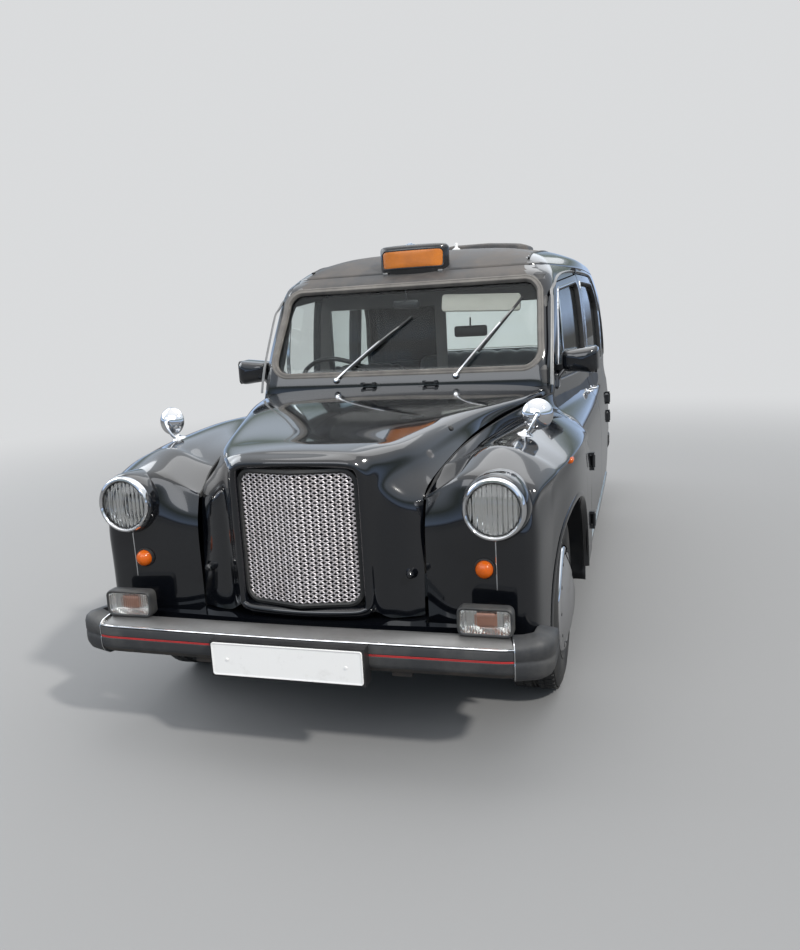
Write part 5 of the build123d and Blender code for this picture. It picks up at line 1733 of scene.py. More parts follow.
# Windscreen and window surrounds
SCREEN_RUBBER_SECTION = ((-24, -4), (-22, 4.5), (-16, 6.5), (-10, 4.5), (-6, 6.5), (2, 5.5), (6, 0), (7, -14),
                         (-4, -16))
SLIM_RUBBER_SECTION = ((-9, 0), (-8, 5), (-3, 7), (2, 5), (5, -2), (6, -14), (-2, -15))
BRIGHT_FRAME_SECTION = ((-15, 2), (-14, 6), (-10, 7.5), (-6, 6.5), (-5, 2))


def surround(name, outline_u, section, material, body, slot):
    """A moulding that follows an opening. The section's first value runs towards the middle of the glass."""
    points, normals = on_face(outline_u)
    turn = 1 if np.sum(outline_u[:, 0] * np.roll(outline_u[:, 1], -1)
                       - outline_u[:, 1] * np.roll(outline_u[:, 0], -1)) > 0 else -1
    piece = strip(name, points, normals, [(a * turn, b) for a, b in section], material)
    return settle(piece, body, slot)


screen_line = evenly(windscreen_u, 18.0)
inner_run = [(-a, b) for a, b in SCREEN_RUBBER_SECTION]
surround("windscreen_rubber", screen_line, inner_run, SCREEN_RUBBER, "root", "black_plastic")
surround("back_window_rubber", evenly(back_window_u, 18.0), [(-a, b) for a, b in SLIM_RUBBER_SECTION],
         SCREEN_RUBBER,
         "root", "black_plastic")
for side, sign in (("left", 1), ("right", -1)):
    for label, outline, body in (("front_window", front_window_u, f"door_f{side[0]}"),
                                 ("rear_window", rear_window_u, f"door_r{side[0]}"),
                                 ("quarter", quarter_u, "root")):
        line = evenly(outline, 18.0) * (sign, 1)
        surround(f"{label}_rubber_{side}", line, [(-a, b) for a, b in SLIM_RUBBER_SECTION], BLACK_RUBBER,
                 body,
                 "black_plastic")
        surround(f"{label}_bright_frame_{side}", line, [(-a, b) for a, b in BRIGHT_FRAME_SECTION],
                 BRIGHT_TRIM, body,
                 "bright_metal")

# Division bars in the front doors' windows
for side, sign in (("left", 1), ("right", -1)):
    ends = BODY.from_side(((1862, 1528), (1842, 1106)))
    line = np.array([ends[0] + (ends[1] - ends[0]) * part for part in np.linspace(0, 1, 12)]) * (sign, 1)
    points, normals = on_face(line, -10)
    bar = strip(f"window_division_{side}", points, normals,
                ((-7, -8), (-7, 6), (-3, 9), (3, 9), (7, 6), (7, -8)),
                BRIGHT_TRIM, closed=False)
    settle(bar, f"door_f{side[0]}", "bright_metal")

# Drip rail, from the scuttle up the pillar and over the doors
RAIL_PILLAR = ((700, 1452, 1098), (697, 1488, 1200), (694, 1546, 1300), (690, 1606, 1400), (687, 1652, 1470),
               (684, 1674, 1491))
pillar_normal = (0.8, -0.6, 0.0)
RAIL_LINE = ((1700, 1508), (1760, 1538), (1850, 1569), (1950, 1589), (2100, 1604), (2300, 1615), (2600, 1618),
             (2900, 1618), (3080, 1614), (3200, 1589), (3285, 1525), (3335, 1450), (3350, 1400))
RAIL_SECTION = ((-7, 1), (-7, 5), (-6, 9), (-4.5, 11.5), (-2.5, 12), (-0.5, 10), (1, 7), (3, 5), (6, 3.5),
                (7, 1))
rail_line = np.array([point[:2] for point in smooth_path([(a, b, 0) for a, b in RAIL_LINE], 8)])
pillar_run = np.array(smooth_path(RAIL_PILLAR, 8))
side_run, side_normals = on_face(BODY.from_side(rail_line))
rail_points = np.concatenate([pillar_run, side_run])
rail_normals = np.concatenate([np.tile(pillar_normal, (len(pillar_run), 1)), side_normals])
smoothing = 7
for values in (rail_points, rail_normals):
    for column in range(3):
        padded = np.pad(values[:, column], smoothing // 2, mode="reflect", reflect_type="odd")
        values[:, column] = np.convolve(padded, np.ones(smoothing) / smoothing, mode="valid")
rail_normals /= np.linalg.norm(rail_normals, axis=1)[:, None]
for side, sign in (("left", 1), ("right", -1)):
    points, normals = rail_points * (sign, 1, 1), rail_normals * (sign, 1, 1)
    rail = strip(f"drip_rail_{side}", points, normals, [(-a * sign, b) for a, b in RAIL_SECTION], SATIN_METAL,
                 closed=False, sharp=60)
    settle(rail, "root", "bright_metal")

# Bright strips along the sills
for side, sign in (("left", 1), ("right", -1)):
    line = [(station, 362) for station in np.linspace(1470, 3165, 60)]
    points, normals = on_face(BODY.from_side(line) * (sign, 1))
    sill = strip(f"sill_strip_{side}", points, normals,
                 [(-11, 2), (-10, 8), (-6, 11), (6, 11), (10, 8), (11, 2)],
                 BRIGHT_TRIM, closed=False)
    settle(sill, "root", "bright_metal")

def surface_point(piece, start, way):
    """Where a line from a (x, station, height) start first meets a piece, in mm."""
    hit, place, normal, _ = piece.ray_cast(Vector(placed([start])[0]), Vector(way))
    if not hit:
        raise ValueError(f"no surface of {piece.name} at {start}")
    return np.array((place.x, place.y, place.z)) / MM + (0, overall_length / 2, 0), np.array(normal)


# Bright seam down the front of each wing
def wing_seam(name):
    rows = [surface_point(wing_left, (650, -200, height), (0, 1, 0)) for height in np.linspace(724, 566, 12)]
    return strip(name, [row[0] for row in rows], np.array([row[1] for row in rows]),
                 [(-2, -4), (-1.8, 1.5), (0, 2.4), (1.8, 1.5), (2, -4)], BRIGHT_TRIM, closed=False)


for piece in both_sides("wing_seam", wing_seam):
    settle(piece, "root", "bright_metal")


# Roof: side seams, front edge band, hatch and aerial stub
def surface_height(x, station):
    """The roof's height at a place seen from above."""
    heights = BODY.height[roof_rows]
    halves = np.array([np.interp(station, BODY.points[i][:, 1], BODY.points[i][:, 0], left=-1, right=-1)
                       for i in roof_rows])
    order = halves[::-1]
    if abs(x) <= order[0]:
        return float(heights[-1])
    return float(np.interp(abs(x), order, heights[::-1]))


def roof_seam(name):
    rows = []
    for station in np.linspace(roof_seam_front, roof_seam_rear, 90):
        rows.append((roof_seam_x, station, surface_height(roof_seam_x, station) + 2.0))
    rows = np.array(rows)
    rows[:, 2] = np.convolve(np.pad(rows[:, 2], 4, mode="edge"), np.ones(9) / 9, mode="valid")
    normals = np.tile((0.42, 0.0, 0.91), (len(rows), 1))
    return strip(name, rows, normals, [(-6, 0), (-5, 4), (-2, 6), (2, 6), (5, 4), (6, 0)], BLACK_RUBBER,
                 closed=False)


def rear_roof_seam(name):
    rows = []
    for x in np.linspace(-roof_seam_x, roof_seam_x, 60):
        rows.append((x, roof_seam_rear, surface_height(x, roof_seam_rear) + 2.0))
    rows = np.array(rows)
    rows[:, 2] = np.convolve(np.pad(rows[:, 2], 4, mode="edge"), np.ones(9) / 9, mode="valid")
    normals = np.tile((0.0, 0.24, 0.97), (len(rows), 1))
    return strip(name, rows, normals, [(-9, 0), (-7, 3), (-2, 5), (2, 5), (7, 3), (9, 0)], BLACK_RUBBER,
                 closed=False)


for piece in [*both_sides("roof_seam", roof_seam), rear_roof_seam("roof_seam_rear")]:
    settle(piece, "root", "roof_skin")

stub = lathe("aerial_stub", ((0, 0), (22, 0), (22, 4), (15, 9), (9, 12), (7, 34), (5, 37), (0, 37)),
             (135, 2200, surface_height(135, 2200) + 2),
             PLATE_WHITE, (0, 0, 1), 32)
settle(stub, "root", "black_plastic")


def domed(name, outline, levels, material, place, sharp=45):
    """Rings of an outline shrunk to its middle. place(x, height, lift) gives each point."""
    outline = np.asarray(outline, float)
    middle = outline.mean(0)
    rows = [place(*(middle + (point - middle) * share), lift) for share, lift in levels for point in outline]
    count = len(outline)
    faces = [(level * count + i, level * count + (i + 1) % count, (level + 1) * count + (i + 1) % count,
              (level + 1) * count + i) for level in range(len(levels) - 1) for i in range(count)]
    faces.append(tuple(range((len(levels) - 1) * count, len(levels) * count)))
    return mesh_piece(name, placed(rows), faces, material, sharp=sharp)


def over_roof(x, station, lift):
    return x, station, surface_height(x, station) + lift


hatch_outline = evenly(np.array(rounded_rectangle(224, 200, 60)) + (262, 2510), 16.0)
hatch = domed("roof_hatch", hatch_outline, ((1.0, -6), (1.0, 18), (0.985, 25), (0.95, 30), (0.86, 34),
                                            (0.6, 36), (0.3, 36.5),
                                            (0.08, 36.5)), ROOF_PAINT, over_roof)
settle(hatch, "root", "roof_skin")

# Roof sign: a black hood round an amber lens at each end of the car
sign_half, sign_front, sign_rear = 175, 1772, 1904
side_power, face_power = 2.6, 2.2


def sign_ring(half_width, front, rear, height, steps=24):
    """A plan outline with a bowed front and round ends."""
    rows = []
    depth = (rear - front) / 2
    for index in range(4 * steps):
        turn = index * 2 * pi / (4 * steps)
        along = abs(cos(turn)) ** (2 / side_power) * (1 if cos(turn) >= 0 else -1)
        deep = abs(sin(turn)) ** (2 / face_power) * (1 if sin(turn) >= 0 else -1)
        rows.append((half_width * along, (front + rear) / 2 + depth * deep, height))
    return rows


def sign_shell():
    on_roof = ((170, 1776, 1900, -8), (175, 1772, 1904, 4))
    levels = ((175, 1772, 1904, 1746), (174, 1774, 1902, 1757), (169, 1779, 1897, 1766),
              (158, 1790, 1886, 1772),
              (120, 1812, 1870, 1775), (30, 1836, 1848, 1776))
    rows = [over_roof(x, station, lift) for *ring, lift in on_roof for x, station, _ in sign_ring(*ring, 0)]
    rows += [point for level in levels for point in sign_ring(*level)]
    levels = on_roof + levels
    count = len(sign_ring(*levels[0]))
    faces = [(level * count + i, level * count + (i + 1) % count, (level + 1) * count + (i + 1) % count,
              (level + 1) * count + i) for level in range(len(levels) - 1) for i in range(count)]
    faces += [tuple(range(count)), tuple(range((len(levels) - 1) * count, len(levels) * count))]
    return mesh_piece("shell", placed(rows), faces, GLOSS_PLASTIC, sharp=45)


def sign_lens(way):
    """A bowed lens in a raised frame, on the front (1) or the rear (-1) of the sign."""
    foot = 1662 if way > 0 else 1690
    outline = rounded_polygon([(-154, foot), (152, foot), (157, 1748), (-157, 1748)], [14, 14, 20, 20], 6)
    outline = evenly(outline, 12.0)

    def on_sign(x, height, lift):
        edge = sign_front if way > 0 else sign_rear
        share = min(1.0, abs(x) / sign_half)
        bow = (1 - (1 - share ** side_power) ** (1 / face_power)) * (sign_rear - sign_front) / 2
        return x, edge + way * (bow - lift), height

    rim_points = [on_sign(x, z, 0) for x, z in outline]
    normals = np.tile((0.0, -way, 0.0), (len(rim_points), 1))
    rim = strip("rim", rim_points, normals, [(-4, -3), (-4, 2), (-2, 4), (2, 4), (4, 2), (4, -3)],
                GLOSS_PLASTIC)
    lens = domed("lens", outline, ((1.0, -1), (0.97, 1.5), (0.9, 3), (0.7, 4), (0.45, 4.5), (0.2, 4.5)),
                 AMBER_SIGN,
                 on_sign, sharp=60)
    return [rim, lens]


sign_parts = [sign_shell()] + sign_lens(1) + sign_lens(-1)
for x in (-140, 140):
    foot_height = surface_height(x, 1788)
    sign_parts.append(block("foot", (x - 13, 1776, foot_height - 6), (x + 13, 1800, foot_height + 10),
                            SATIN_METAL, 4))
sign_parts.append(lathe("latch", ((0, 0), (24, 0), (24, 3), (16, 5), (11, 6), (11, 9), (7, 11), (0, 11)),
                        (-20, 1838, 1775), BRIGHT_TRIM, (0, 0, 1), 32))
taxi_sign = settle(merged("taxi_sign_housing", sign_parts), "root", "sign_body", "taxi_sign")


# Round mirrors on the wings
def wing_mirror(name):
    centre = np.array((733, 655, 1066))
    facing = np.array((0.10, -0.985, 0.12))
    (base, lean) = surface_point(wing_left, (690, 640, 1300), (0, 0, -1))
    bowl = lathe("bowl", ((0, -27), (9, -26.5), (12, -23), (14, -20), (24, -17), (36, -11), (46, -3), (53, 6),
                          (56, 14),
                          (55, 18), (52, 17), (50, 14), (0, 14)), centre, CHROME, tuple(-facing), 72)
    stalk_line = smooth_path([centre + facing * 20, centre + facing * 34 + (-6, 0, -14), (716, 618, 1026),
                              (700, 626, 1004), base + (0, 0, 14), base - (0, 0, 4)], 6)
    stalk = sweep("stalk", placed(stalk_line), circle_section(6, 12), CHROME, up=None)
    foot = lathe("foot", ((0, -10), (30, -10), (30, -2), (25, 4), (14, 9), (9, 14), (0, 16)), base, CHROME,
                 tuple(lean), 40)
    return merged(name, [bowl, stalk, foot])


for piece in both_sides("wing_mirror", wing_mirror):
    settle(piece, "root", "chrome", "wing_mirrors")


# Door mirrors
def door_mirror(name):
    outline = rounded_polygon([(732, 1150), (884, 1130), (897, 1152), (894, 1238), (878, 1252), (734, 1238)],
                              [20, 26, 24, 24, 26, 24], 8)
    outline = evenly(outline, 9.0)

    def upright_place(x, height, lift):
        return x, lift + (x - 732) * 0.10, height

    case = domed("case", outline, ((1.02, 1662), (1.05, 1660), (1.05, 1650), (1.04, 1630), (1.02, 1604),
                                   (0.98, 1584),
                                   (0.92, 1570), (0.82, 1559), (0.68, 1552), (0.5, 1548), (0.25, 1546)),
                 PAINT,
                 upright_place, sharp=50)
    glass = domed("glass", outline, ((1.02, 1662), (0.97, 1661), (0.96, 1655), (0.5, 1655)), CHROME,
                  upright_place)
    arm_line = smooth_path([(712, 1590, 1112), (722, 1594, 1134), (744, 1602, 1158), (776, 1608, 1178)], 6)
    arm = sweep("arm", placed(arm_line), flat_ellipse(52, 26, 16), PAINT, up=(0, 0, 1))
    foot = stack("foot", rounded_polygon([(1546, 1066), (1636, 1066), (1612, 1140), (1574, 1140)], [12] * 4,
                                         5),
                 ((0, 690), (0, 714), (4, 721), (12, 724)), PAINT, across=(0, 1, 0), upward=(0, 0, 1),
                 onward=(1, 0, 0))
    return merged(name, [case, glass, arm, foot])


for piece, body in zip(both_sides("door_mirror", door_mirror), ("door_fl", "door_fr")):
    settle(piece, body, "black_plastic")


# Door handles with their round bosses and a lock
def door_handle(name, station, height):
    place = BODY.from_side([(station, height)])
    (point,), (normal,) = on_face(place, 4.0)
    x = point[0]
    line = smooth_path([(x - 2, station - 58, height), (x + 20, station - 52, height + 1),
                        (x + 27, station - 20, height + 2),
                        (x + 27, station + 30, height + 1), (x + 22, station + 56, height),
                        (x, station + 62, height)], 6)
    grip = sweep("grip", placed(line), flat_ellipse(15, 10, 12), CHROME, up=(0, 0, 1))
    rows = []
    for offset in (-58, 60):
        rows.append(lathe("boss", ((0, -4), (17, -4), (17, 1), (13, 5), (6, 7), (0, 7)),
                          (x - 2, station + offset, height),
                          CHROME, tuple(normal), 28))
    lock = lathe("lock", ((0, -4), (11, -4), (11, 3), (8, 5), (0, 5)), (x + 2, station + 6, height - 38),
                 CHROME,
                 tuple(normal), 24)
    return merged(name, [grip, lock] + rows)


for label, station, height in (("front", 2310, 985), ("rear", 2490, 985)):
    for piece, side in zip(both_sides(f"{label}_door_handle", door_handle, station, height), ("l", "r")):
        settle(piece, f"door_{label[0]}{side}", "chrome")


# Wipers
def wiper(name, pivot, blade_start, blade_end):
    """An arm and a blade that lie over the windscreen. Places are (x, height) from the front."""
    start, end = np.array(blade_start, float), np.array(blade_end, float)
    middle = start + (end - start) * 0.5

    def over_glass(places, lift):
        return on_face(BODY.from_front(places), lift)

    line = [start + (end - start) * part for part in np.linspace(0, 1, 16)]
    points, normals = over_glass(line, -15.0)
    rubber = strip("rubber", points, normals, [(-3, 0.5), (-4, 3), (-7, 9), (7, 9), (4, 3), (3, 0.5)],
                   BLACK_RUBBER, closed=False)
    spine = strip("spine", points, normals, [(-6, 9), (-5, 13), (5, 13), (6, 9)], BLACK_PLASTIC, closed=False)
    reach = [start + (end - start) * part for part in np.linspace(0.2, 0.8, 12)]
    points, normals = over_glass(reach, -15.0)
    rise = 12 + 9 * np.sin(np.linspace(0, pi, 12))[:, None]
    yoke = strip("yoke", points + normals * rise, normals, [(-3, -2), (-3, 2), (3, 2), (3, -2)], SATIN_METAL,
                 closed=False)
    stem = [np.array(pivot, float) + (middle - pivot) * part for part in np.linspace(0, 1, 16)]
    points, normals = over_glass(stem, 0.0)
    lift = np.interp(np.linspace(0, 1, 16), (0, 0.1, 0.5, 1), (14, 16, 12, 9))[:, None]
    arm = strip("arm", points + normals * lift, normals,
                [(-4.5, -3), (-5.5, 1), (-3, 4), (3, 4), (5.5, 1), (4.5, -3)],
                BRIGHT_TRIM, closed=False)
    (base,), (way,) = over_glass([pivot], 0.0)
    boss = lathe("boss", ((0, -14), (17, -14), (17, 6), (13, 14), (9, 20), (0, 22)), base, CHROME, tuple(way),
                 32)
    return merged(name, [rubber, spine, yoke, arm, boss])


settle(wiper("wiper_driver", (-311, 1146), (-248, 1200), (27, 1430)), "root", "wiper_metal", "wipers")
settle(wiper("wiper_passenger", (270, 1150), (368, 1256), (552, 1490)), "root", "wiper_metal", "wipers")

# Scuttle: slots of the air inlet
# Thin black strips lie where the inlet's slots open: painted shade of the openings.
for index, x in enumerate((-120, -40, 40, 120)):
    slot_piece = block(f"scuttle_slot_{index + 1}", (x - 30, 1446, 1118), (x + 30, 1450, 1124), BLACK_RUBBER,
                       1.5)
    settle(slot_piece, "root", "black_plastic")

# Small round plug on the bonnet
plug = lathe("bonnet_plug", ((0, -3), (6, -3), (9, -1), (11, 1), (11, 6)), (430, 620, 1028), BLACK_RUBBER,
             (-0.62, 0.25, -0.75), 28)
settle(plug, "bonnet", "black_plastic")


# Wheels
def tyre_profile():
    right = [(70, 203), (84, 214), (91, 240), (93, 268), (91, 296), (85, 318), (78, 331), (66, 338.5),
             (40, 341.5),
             (12, 343), (10, 336), (4, 336), (2, 343)]
    left = [(-x, r) for x, r in reversed(right)]
    return [(radius, offset) for offset, radius in right + left]


def tread_tree():
    """Geometry nodes for rows of tread blocks round a wheel on the X axis."""
    tree = bpy.data.node_groups.new("Tread_blocks", "GeometryNodeTree")
    for label, kind, value in (("Count", "NodeSocketInt", 66), ("Radius", "NodeSocketFloat", 0.341),
                               ("Offset", "NodeSocketFloat", 0.06), ("Width", "NodeSocketFloat", 0.03),
                               ("Length", "NodeSocketFloat", 0.024), ("Height", "NodeSocketFloat", 0.008),
                               ("Slant", "NodeSocketFloat", 0.3), ("Start", "NodeSocketFloat", 0.0),
                               ("Rubber", "NodeSocketMaterial", None)):
        socket = tree.interface.new_socket(label, in_out="INPUT", socket_type=kind)
        if value is not None:
            socket.default_value = value
    tree.interface.new_socket("Geometry", in_out="OUTPUT", socket_type="NodeSocketGeometry")
    nodes, links = tree.nodes, tree.links
    given = nodes.new("NodeGroupInput").outputs
    size = linked(nodes, links, "ShaderNodeCombineXYZ", {"X": given["Width"], "Y": given["Length"],
                                                         "Z": given["Height"]})
    cube = linked(nodes, links, "GeometryNodeMeshCube", {"Size": size.outputs["Vector"]})
    slant = linked(nodes, links, "ShaderNodeCombineXYZ", {"Z": given["Slant"]})
    turned = linked(nodes, links, "GeometryNodeTransform", {"Geometry": cube.outputs["Mesh"],
                                                           "Rotation": slant.outputs["Vector"]})
    row = linked(nodes, links, "GeometryNodeMeshLine", {"Count": given["Count"], "Offset": (0.0, 0.0, 0.0)})
    index = nodes.new("GeometryNodeInputIndex")
    share = linked(nodes, links, "ShaderNodeMath", {0: index.outputs[0], 1: given["Count"]},
                   operation="DIVIDE")
    turn = linked(nodes, links, "ShaderNodeMath", {0: share.outputs[0], 1: 2 * pi, 2: given["Start"]},
                  operation="MULTIPLY_ADD")
    rotation = linked(nodes, links, "ShaderNodeCombineXYZ", {"X": turn.outputs[0]})
    arm = linked(nodes, links, "ShaderNodeCombineXYZ", {"X": given["Offset"], "Z": given["Radius"]})
    swung = linked(nodes, links, "ShaderNodeVectorRotate", {"Vector": arm.outputs["Vector"],
                                                           "Rotation": rotation.outputs["Vector"]},
                   rotation_type="EULER_XYZ")
    moved = linked(nodes, links, "GeometryNodeSetPosition", {"Geometry": row.outputs["Mesh"],
                                                            "Position": swung.outputs["Vector"]})
    copies = linked(nodes, links, "GeometryNodeInstanceOnPoints", {"Points": moved.outputs["Geometry"],
                                                                  "Instance": turned.outputs["Geometry"],
                                                                  "Rotation": rotation.outputs["Vector"]})
    real = linked(nodes, links, "GeometryNodeRealizeInstances", {"Geometry": copies.outputs["Instances"]})
    coated = linked(nodes, links, "GeometryNodeSetMaterial", {"Geometry": real.outputs["Geometry"],
                                                             "Material": given["Rubber"]})
    links.new(coated.outputs["Geometry"], nodes.new("NodeGroupOutput").inputs["Geometry"])
    return tree


tread = tread_tree()
# columns: offset from the middle, width, length, slant, start turn
TREAD_ROWS = ((-0.058, 0.032, 0.025, 0.10, 0.00), (0.058, 0.032, 0.025, -0.10, 0.02),
              (-0.024, 0.022, 0.023, 0.30, 0.04), (0.024, 0.022, 0.023, -0.30, 0.06))
wheel_radius = 343


def wheel(end, side_name, sign, station, body):
    centre = (711 * sign, station, wheel_radius)
    groove = [(radius - (3.5 if radius > 335 else 0), offset) for radius, offset in tyre_profile()]
    carcass = lathe("carcass", groove, centre, TYRE_RUBBER, (sign, 0, 0), 96, closed=True, sharp=30)
    parts = [carcass]
    for offset, width, length, slant, start in TREAD_ROWS:
        blocks = run_tree("blocks", tread, {"Count": 66, "Radius": 0.3385, "Offset": offset, "Width": width,
                                            "Length": length, "Height": 0.0075, "Slant": slant,
                                            "Start": start,
                                            "Rubber": TYRE_RUBBER})
        blocks.data.transform(Matrix.Translation(Vector(placed([centre])[0])))
        parts.append(blocks)
    bead = lathe("bead", ((216, 84), (222, 89), (228, 91), (230, 90), (224, 86), (218, 82)), centre,
                 TYRE_RUBBER,
                 (sign, 0, 0), 96, closed=True)
    parts.append(bead)
    tyre = settle(merged(f"{end}_tyre_{side_name}", parts), body, "tyre", f"tyre_{end}_{side_name}")
    rim_parts = [
        lathe("well", ((205, -72), (205, 72), (202, 80), (196, 84), (190, 82), (186, 74), (176, 62),
                       (172, 30), (60, 26),
                       (58, -6), (24, -6), (24, -20), (66, -20), (176, -10), (190, -66), (196, -74)), centre,
              CHASSIS, (sign, 0, 0), 96, closed=True),
        lathe("trim", ((204, 76), (203, 84), (198, 92), (190, 97), (182, 98), (176, 95), (170, 93), (160, 97),
                       (140, 106), (116, 114), (96, 118), (86, 118), (80, 120), (66, 124), (44, 127),
                       (20, 128),
                       (0, 128), (0, 122), (44, 121), (80, 114), (116, 108), (160, 90), (176, 86), (190, 90),
                       (198, 84)), centre, CHROME, (sign, 0, 0), 96),
    ]
    # Twelve black discs on the trim stand for its slots: painted shade of the openings.
    for index in range(12):
        turn = index * pi / 6
        hole = (centre[0] + sign * 96, centre[1] + 182 * cos(turn), centre[2] + 182 * sin(turn))
        rim_parts.append(lathe("slot", ((0, 0), (6, 0), (7, 1.5), (6, 3), (0, 3)), hole, BLACK_RUBBER,
                               (sign, 0, 0), 12))
    rim = settle(merged(f"{end}_wheel_trim_{side_name}", rim_parts), body, "chrome", f"rim_{end}_{side_name}")
    return tyre, rim


for end, station in (("front", 800), ("rear", 3610)):
    for side_name, sign in (("left", 1), ("right", -1)):
        wheel(end, side_name, sign, station, f"wheel_{end[0]}{side_name[0]}")


# Tail: lamps, boot handle, plate and its plinth
def tail_lamp(name):
    outline = evenly(rounded_polygon([(522, 602), (638, 602), (638, 768), (522, 768)], [28] * 4, 6), 14.0)
    inner = BODY.from_tail(outline)
    points, normals = BODY.at(inner)
    middle = BODY.from_tail([(580, 685)])
    (centre,), (way,) = BODY.at(middle)
    rows, faces = [], []
    levels = ((1.0, -2), (1.0, 14), (0.965, 19), (0.93, 20), (0.9, 17), (0.88, 17), (0.84, 22), (0.6, 25),
              (0.3, 26),
              (0.05, 26))
    for share, lift in levels:
        rows += [centre + (point - centre) * share + normal * lift for point, normal in zip(points, normals)]
    count = len(outline)
    for level in range(len(levels) - 1):
        faces += [(level * count + i, level * count + (i + 1) % count, (level + 1) * count + (i + 1) % count,
                   (level + 1) * count + i) for i in range(count)]
    faces.append(tuple(range((len(levels) - 1) * count, len(levels) * count)))
    piece = mesh_piece(name, placed(rows), faces, CHROME, sharp=40)
    piece.data.materials.append(RED_LENS)
    piece.data.materials.append(AMBER)
    for face in piece.data.polygons:
        reach = Vector(placed([centre])[0]) + Vector(way) * 0.016
        if (face.center - reach).dot(Vector(way)) > 0 and max(
                abs(face.center.x * 1000 - centre[0]) / 52,
                abs(face.center.z * 1000 - centre[2]) / 76) < 0.93:
            face.material_index = 2 if face.center.z * 1000 > centre[2] + 30 else 1
    return piece


for piece in both_sides("tail_lamp", tail_lamp):
    settle(piece, "root", "red_lens", "tail_lamps")

boot_place = BODY.from_tail([(0, 830)])
(boot_point,), _ = BODY.at(boot_place)
handle_line = smooth_path([(-62, boot_point[1] - 2, 830), (-56, boot_point[1] + 22, 829),
                           (0, boot_point[1] + 30, 828),
                           (56, boot_point[1] + 22, 829), (62, boot_point[1] - 2, 830)], 6)
boot_handle = sweep("boot_handle", placed(handle_line), circle_section(7, 12, 1.3), CHROME, up=(0, 0, 1))
settle(boot_handle, "boot", "chrome")
plate_point = BODY.at(BODY.from_tail([(0, 690)]))[0][0]
rear_plate_station = float(plate_point[1]) + 30
rear_plate = plate("rear_number_plate", rear_plate_station, -1, 690)
rear_plinth = stack("rear_plate_plinth", rounded_rectangle(264, 60, 9), ((0, rear_plate_station - 26),
                                                                        (0, rear_plate_station - 4)),
                    BLACK_PLASTIC,
                    centre=(0, 0, 690))
for piece in (rear_plate, rear_plinth):
    settle(piece, "boot", "plate_white")


# Cabin
def cushion(name, low, high, material, swell, seams=0, along=0):
    """A padded block whose faces swell between its edges, with sewn channels across it."""
    low, high = np.array(placed([low])[0]), np.array(placed([high])[0])
    size = high - low
    mesh = bpy.data.meshes.new(name)
    form = bmesh.new()
    bmesh.ops.create_cube(form, size=1)
    for vertex in form.verts:
        vertex.co = Vector(low + size * (np.array(vertex.co) + 0.5))
    bmesh.ops.bevel(form, geom=form.edges, offset=0.035, segments=3, profile=0.6, affect="EDGES")
    form.to_mesh(mesh)
    form.free()
    piece = link(name, mesh, material)
    cells = piece.modifiers.new("cells", "REMESH")
    cells.mode = "VOXEL"
    cells.voxel_size = 0.014
    plain(piece)
    mesh = piece.data
    points = np.empty(len(mesh.vertices) * 3)
    mesh.vertices.foreach_get("co", points)
    points = points.reshape(-1, 3)
    share = (points - low) / size * 2 - 1
    bulge = (1 - np.clip(np.abs(share), 0, 1) ** 2.5)
    for axis in range(3):
        others = [other for other in range(3) if other != axis]
        across = bulge[:, others[0]] * bulge[:, others[1]]
        points[:, axis] += np.sign(share[:, axis]) * np.abs(share[:, axis]) * swell * across
    if seams:
        lines = np.linspace(-0.72, 0.72, seams)
        away = np.min(np.abs(share[:, along][:, None] - lines[None]), axis=1) * size[along] / 2
        groove = np.exp(-(away / 0.012) ** 2) * 0.011
        upper = 2 if along != 2 else 1
        face = (share[:, upper] > 0.5) if upper == 2 else (share[:, 1] < -0.5)
        points[face, upper] -= groove[face] * (1 if upper == 2 else -1)
    mesh.vertices.foreach_set("co", points.ravel())
    mesh.materials.clear()
    mesh.materials.append(material)
    mesh.polygons.foreach_set("use_smooth", [True] * len(mesh.polygons))
    smooth = piece.modifiers.new("smooth", "SMOOTH")
    smooth.factor, smooth.iterations = 0.5, 3
    return plain(piece)


DRIVER_SEAT = (("driver_cushion", (-640, 1884, 566), (-210, 2296, 684), 0.016, 5, 0),
               ("driver_backrest", (-640, 2214, 694), (-210, 2296, 1164), 0.014, 5, 0))
BENCH = (("bench_cushion", (-556, 3130, 600), (556, 3596, 724), 0.016, 9, 0),
         ("bench_backrest", (-556, 3606, 690), (556, 3722, 1172), 0.016, 9, 0))
for node, rows in (("driver_seat", DRIVER_SEAT), ("rear_bench", BENCH)):
    for name, low, high, swell, seams, along in rows:
        pad = cushion(name, low, high, VINYL, swell, seams=seams, along=along)
        settle(pad, "root", "seat_vinyl", node)
plinths = (("driver_seat_base", (-628, 1904, 397), (-222, 2276, 562), "driver_seat"),
           ("bench_base", (-558, 3128, 561), (558, 3600, 598), "rear_bench"))
for name, low, high, node in plinths:
    settle(block(name, low, high, TRIM, 8), "root", "trim_plastic", node)


# Steering wheel
steering_hub = (-422, 1790, 1070)
steering_axis = np.array((0.0, 150.0, 110.0)) / hypot(150, 110)


